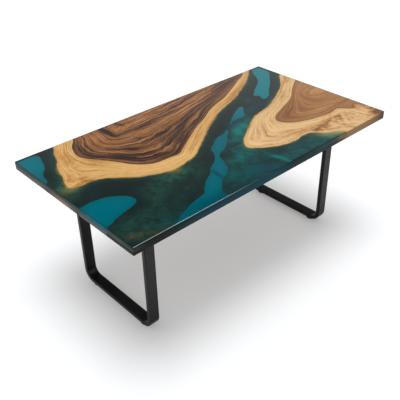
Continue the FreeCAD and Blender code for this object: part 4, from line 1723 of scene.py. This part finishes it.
@dataclass
class LevellingFeet:
    """Threaded stems of the four feet; their nylon bases stay as packed."""

    plate: bpy.types.Material
    thread_radius: float = 0.004
    thread_pitch: float = 0.00125
    thread_depth: float = 0.00077
    thread_sides: int = 24
    steps_a_pitch: int = 8
    collar_flats: float = 0.013
    collar_low: float = 0.0073
    collar_high: float = 0.0105
    pivot_radius: float = 0.00745
    pivot_sides: int = 32

    def stem_tree(self) -> bpy.types.NodeTree:
        """Make a screw thread over a six-sided collar and a round pivot.

        Returns:
            The tree.
        """
        sizes = {"Seed": "Geometry", "Centre": "Vector", "Low": "Float", "High": "Float", "Radius": "Float",
                 "Pitch": "Float", "Thread Depth": "Float", "Flats": "Float", "Collar Low": "Float",
                 "Collar High": "Float", "Pivot Radius": "Float", "Segments": "Int", "Material": "Material"}
        wiring, given = geometry_tree("levelling_stem", sizes)

        def bar(sides: int, rows: Wire, radius: Wire, low: Wire, high: Wire) -> Socket:
            """Stand a bar between two heights.

            Args:
                sides: Number of its sides.
                rows: Number of its rows.
                radius: Radius over its corners.
                low: Height of its lower end.
                high: Height of its upper end.

            Returns:
                The socket of the bar.
            """
            shape = {"Vertices": sides, "Side Segments": rows, "Radius": radius,
                     "Depth": wiring.less(high, low)}
            solid = wiring.socket("GeometryNodeMeshCylinder", shape)
            middle = wiring.times(wiring.plus(high, low), 0.5)
            lift = {"Geometry": solid, "Translation": wiring.vector(0.0, 0.0, middle)}
            return wiring.socket("GeometryNodeTransform", lift)

        rod = bar(self.thread_sides, given["Segments"], given["Radius"], given["Collar High"], given["High"])
        x, y, z = wiring.axes(wiring.socket("GeometryNodeInputPosition", {}))
        turn = wiring.math("DIVIDE", wiring.math("ARCTAN2", y, x), 2 * math.pi)
        phase = wiring.math("FRACT", wiring.less(wiring.math("DIVIDE", z, given["Pitch"]), turn))
        groove = wiring.math("ABSOLUTE", wiring.scaled(phase, 2.0, -1.0))
        cut = wiring.math("DIVIDE", wiring.times(groove, given["Thread Depth"]), given["Radius"])
        share = wiring.less(1.0, cut)
        place = wiring.vector(wiring.times(x, share), wiring.times(y, share), z)
        rod = wiring.socket("GeometryNodeSetPosition", {"Geometry": rod, "Position": place})
        corner = wiring.math("DIVIDE", given["Flats"], 2 * math.cos(math.pi / 6))
        collar = bar(6, 1, corner, given["Collar Low"], given["Collar High"])
        pivot = bar(self.pivot_sides, 1, given["Pivot Radius"], given["Low"], given["Collar Low"])
        whole = wiring.add("GeometryNodeJoinGeometry", {})
        for part in (pivot, collar, rod):
            wiring.tree.links.new(part, whole.inputs[0])
        moved = {"Geometry": whole.outputs[0], "Translation": given["Centre"]}
        return close_tree(wiring, wiring.socket("GeometryNodeTransform", moved), given["Material"])

    def build(self) -> None:
        """Make the stem of each foot."""
        tree = self.stem_tree()
        sizes = {
            "Radius": self.thread_radius, "Pitch": self.thread_pitch, "Thread Depth": self.thread_depth,
            "Flats": self.collar_flats, "Collar Low": self.collar_low, "Collar High": self.collar_high,
            "Pivot Radius": self.pivot_radius, "Material": self.plate,
        }
        for side in Side:
            for row in Row:
                node = f"{side.word}_{row.word}_foot_stem"
                low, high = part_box(node)
                turns = (high.z - self.collar_high) / self.thread_pitch
                values = {
                    "Centre": ((low.x + high.x) / 2, (low.y + high.y) / 2, 0.0), "Low": low.z, "High": high.z,
                    "Segments": round(turns * self.steps_a_pitch), **sizes,
                }
                seed = line_mesh(f"{node}_seed", [(0.0, 0.0, 0.0)])
                stem = grown_mesh(f"{node}_thread", tree, seed, values)
                finished_piece(f"{node}_thread", stem, node, Slot.ZINC, node)


@dataclass
class PackedPieces:
    """Plates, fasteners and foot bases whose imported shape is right."""

    finishes: dict[Slot, bpy.types.Material]

    def dress(self) -> None:
        """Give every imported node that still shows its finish."""
        slots = {part["node"]: part["material_slot"] for part in frame["record"]["subparts"]}
        for name, node in frame["nodes"].items():
            if node.hide_render:
                continue
            material = self.finishes[Slot(slots[name])]
            node.data.materials.clear()
            node.data.materials.append(material)
            LOG.info("%s: %s", name, material.name)


@dataclass
class Studio:
    """Floor, light and camera."""

    floor_half: float = 14.0
    floor_colour: Colour = (0.95, 0.965, 0.985, 1.0)
    floor_glow: float = 0.22
    sky_level: float = 0.60
    wall_band: tuple[float, float] = (0.15, 0.56)
    overhead_level: float = 1.72
    overhead_spread: float = 32.0
    softbox_level: float = 7.0
    softbox_turn: float = -53.0
    softbox_rise: float = 40.0
    softbox_reach: tuple[float, float] = (12.5, 7.0)
    camera_place: tuple[float, float, float] = (-2.007, -2.116, 2.297)
    camera_yaw: float = -42.19
    camera_pitch: float = 33.78
    camera_roll: float = -1.16
    focal_pixels: float = 612.1
    picture_pixels: float = 400.0
    sensor: float = 36.0

    def build_floor(self) -> None:
        """Make the plain pale floor, which keeps the table's shadow."""
        mesh = bpy.data.meshes.new("studio_floor")
        half = self.floor_half
        corners = [(-half, -half, 0), (half, -half, 0), (half, half, 0), (-half, half, 0)]
        mesh.from_pydata(corners, [], [(0, 1, 2, 3)])
        material, wiring = new_material("pale_floor")
        matt = wiring.add("ShaderNodeBsdfDiffuse", {"Color": self.floor_colour})
        white = wiring.add("ShaderNodeEmission", {"Strength": 1.0})
        seen = wiring.add("ShaderNodeLightPath", {}).outputs["Is Camera Ray"]
        seen = wiring.times(seen, self.floor_glow)
        both = wiring.add("ShaderNodeMixShader", {0: seen, 1: matt.outputs[0], 2: white.outputs[0]})
        wiring.add("ShaderNodeOutputMaterial", {"Surface": both.outputs[0]})
        mesh.materials.append(material)
        floor = bpy.data.objects.new("studio_floor", mesh)
        bpy.context.scene.collection.objects.link(floor)

    def build_sky(self) -> None:
        """Light the table from all round, with white walls and a softbox in a dark ceiling to be mirrored."""
        world = bpy.data.worlds.new("studio")
        world.use_nodes = True
        world.node_tree.nodes.clear()
        wiring = Wiring(world.node_tree)
        path = wiring.add("ShaderNodeLightPath", {})
        towards = wiring.add("ShaderNodeTexCoord", {}).outputs["Generated"]
        walls = wiring.remap(wiring.axes(towards)[2], *self.wall_band, 1.0, 0.0, soft=False)
        turn, rise = math.radians(self.softbox_turn), math.radians(self.softbox_rise)
        axis = (math.cos(rise) * math.cos(turn), math.cos(rise) * math.sin(turn), math.sin(rise))
        facing = wiring.add("ShaderNodeVectorMath", {0: towards, 1: axis}, operation="DOT_PRODUCT")
        outer, inner = (math.cos(math.radians(reach)) for reach in self.softbox_reach)
        softbox = wiring.remap(facing.outputs["Value"], outer, inner, 0.0, self.softbox_level)
        mirrored = wiring.math("MAXIMUM", path.outputs["Is Glossy Ray"], path.outputs["Is Transmission Ray"])
        level = wiring.mix(mirrored, (self.sky_level,) * 3 + (1.0,), wiring.plus(walls, softbox))
        level = wiring.mix(path.outputs["Is Camera Ray"], level, (1.0, 1.0, 1.0, 1.0))
        background = wiring.add("ShaderNodeBackground", {"Color": level, "Strength": 1.0})
        wiring.add("ShaderNodeOutputWorld", {"Surface": background.outputs[0]})
        bpy.context.scene.world = world

    def build_overhead(self) -> None:
        """Add the broad light straight above, which the polish does not mirror."""
        lamp = bpy.data.lights.new("overhead", "SUN")
        lamp.energy = self.overhead_level
        lamp.angle = math.radians(self.overhead_spread)
        overhead = bpy.data.objects.new("overhead", lamp)
        overhead.visible_glossy = False
        bpy.context.scene.collection.objects.link(overhead)

    def build_camera(self) -> None:
        """Set the camera at the photograph's angle."""
        angles = (self.camera_yaw, self.camera_pitch, self.camera_roll)
        yaw, pitch, roll = (math.radians(angle) for angle in angles)
        back = Vector((math.sin(yaw) * math.cos(pitch), -math.cos(yaw) * math.cos(pitch), math.sin(pitch)))
        right = Vector((math.cos(yaw), math.sin(yaw), 0))
        up = back.cross(right)
        rolled_right = right * math.cos(roll) + up * math.sin(roll)
        rolled_up = up * math.cos(roll) - right * math.sin(roll)
        turn = Matrix((rolled_right, rolled_up, back)).transposed().to_4x4()
        lens = bpy.data.cameras.new("photo_view")
        lens.sensor_width = self.sensor
        lens.lens = self.focal_pixels / self.picture_pixels * self.sensor
        camera = bpy.data.objects.new("photo_view", lens)
        camera.matrix_world = Matrix.Translation(self.camera_place) @ turn
        bpy.context.scene.collection.objects.link(camera)
        bpy.context.scene.camera = camera

    def build(self) -> None:
        """Make the whole studio."""
        self.build_floor()
        self.build_sky()
        self.build_overhead()
        self.build_camera()
        bpy.context.scene.view_settings.view_transform = "Standard"


# The table's own figures and finishes

LEFT_FIGURE = SlabFigure(LEFT_HEART, LEFT_CORE, 0.30, LEFT_TONES, LEFT_BURL, LEFT_STRIPES, 0.30)
RIGHT_FIGURE = SlabFigure(RIGHT_HEART, RIGHT_CORE, 0.25, RIGHT_TONES, RIGHT_BURL, RIGHT_STRIPES, 0.18)
LEFT_WOOD = FiguredWood(
    "left_slab_polish",
    heart=((0.0, paint(44, 30, 27)), (0.22, paint(66, 45, 37)), (0.5, paint(122, 79, 47)),
           (0.75, paint(162, 109, 62)), (1.0, paint(190, 136, 82))),
    sapwood=((0.0, paint(150, 96, 44)), (0.3, paint(190, 139, 76)), (0.5, paint(210, 166, 103)),
             (1.0, paint(234, 196, 134))),
    heart_contrast=1.15,
    sapwood_contrast=0.85,
    sapwood_lines=0.22,
    border=paint(58, 39, 34),
    rim=paint(186, 132, 66),
    fan_centre=(-0.55, 0.30),
)
RIGHT_WOOD = FiguredWood(
    "right_slab_polish",
    heart=((0.0, paint(98, 61, 35)), (0.35, paint(142, 95, 54)), (0.55, paint(162, 111, 66)),
           (1.0, paint(204, 153, 97))),
    sapwood=((0.0, paint(112, 72, 44)), (0.25, paint(178, 128, 78)), (0.5, paint(217, 178, 124)),
             (1.0, paint(238, 208, 158))),
    heart_contrast=0.58,
    sapwood_contrast=0.80,
    sapwood_lines=0.16,
    border=paint(126, 86, 54),
    rim=paint(202, 156, 96),
    fan_centre=(0.72, -0.24),
    fold_depth=0.45,
    ripple=0.016,
)
LEFT_SIDE = PolishedSide(
    "left_slab_side", dark=paint(26, 28, 26), dark_low=paint(38, 38, 35), light=paint(154, 120, 78),
    light_low=paint(148, 118, 84), heart=paint(104, 72, 46), grain=paint(82, 58, 38), tint=paint(14, 62, 74),
)
RIGHT_SIDE = replace(LEFT_SIDE, name="right_slab_side", heart=paint(152, 108, 68), grain=paint(106, 76, 48))
# The pools' light and dim colours are their painted reflection and painted shade
RESIN = CastResin(
    "river_resin_polish", pool=paint(0, 99, 113), pool_shade=paint(0, 91, 104), pool_light=paint(0, 115, 125),
    pool_dim=paint(0, 73, 86), deep=paint(25, 37, 37), murk=paint(28, 44, 43), veil=paint(39, 91, 75),
    wash=paint(2, 112, 110), navy=paint(14, 62, 78), shoal=paint(100, 98, 52), glint=paint(96, 84, 36),
    film=paint(156, 150, 98),
)
# The light colours of the resin's side are its painted reflection, grey towards the foot
RESIN_SIDE = PolishedSide(
    "river_resin_side", dark=paint(14, 26, 24), dark_low=paint(42, 46, 44), light=paint(14, 34, 37),
    light_low=paint(106, 108, 104), heart=paint(38, 54, 57), grain=paint(84, 92, 91), tint=paint(14, 66, 80),
)
WOOD_UNDERSIDE = SandedUnderside("slab_underside", paint(98, 76, 56), paint(136, 110, 84))
RESIN_UNDERSIDE = SandedUnderside("resin_underside", paint(14, 62, 70), paint(30, 92, 100))
SKINS = {
    Slot.STEEL: SprayedSkin("black_powder_coat", paint(12, 12, 13), paint(18, 18, 19), roughness=(0.34, 0.44),
                            dimples=900.0, depth=0.0002, specular=0.25),
    Slot.OXIDE: SprayedSkin("black_oxide", paint(40, 40, 42), paint(60, 60, 62), roughness=(0.32, 0.45),
                            dimples=1500.0, depth=0.0001, metallic=0.9),
    Slot.ZINC: SprayedSkin("zinc_plate", paint(168, 170, 174), paint(204, 205, 206), roughness=(0.25, 0.4),
                           dimples=1200.0, depth=0.0001, metallic=1.0),
    Slot.NYLON: SprayedSkin("moulded_nylon", paint(18, 18, 18), paint(28, 28, 29), roughness=(0.5, 0.62),
                            dimples=700.0, depth=0.0002),
}


def main() -> None:
    """Build the table's pieces in order, then the studio."""
    logging.basicConfig(level=logging.INFO, format="%(message)s")
    build_shared_effects()
    top = TableTop(Board.from_frame())
    underside = WOOD_UNDERSIDE.build()
    top.build_slab(Side.LEFT, LEFT_FIGURE, LEFT_WOOD, LEFT_SIDE, underside)
    top.build_slab(Side.RIGHT, RIGHT_FIGURE, RIGHT_WOOD, RIGHT_SIDE, underside)
    top.build_resin(RESIN, RESIN_SIDE, RESIN_UNDERSIDE.build())
    finishes = {slot: finish.build() for slot, finish in SKINS.items()}
    LegFrames(finishes[Slot.STEEL]).build()
    LevellingFeet(finishes[Slot.ZINC]).build()
    PackedPieces(finishes).dress()
    Studio().build()


if __name__ == "__main__":
    main()
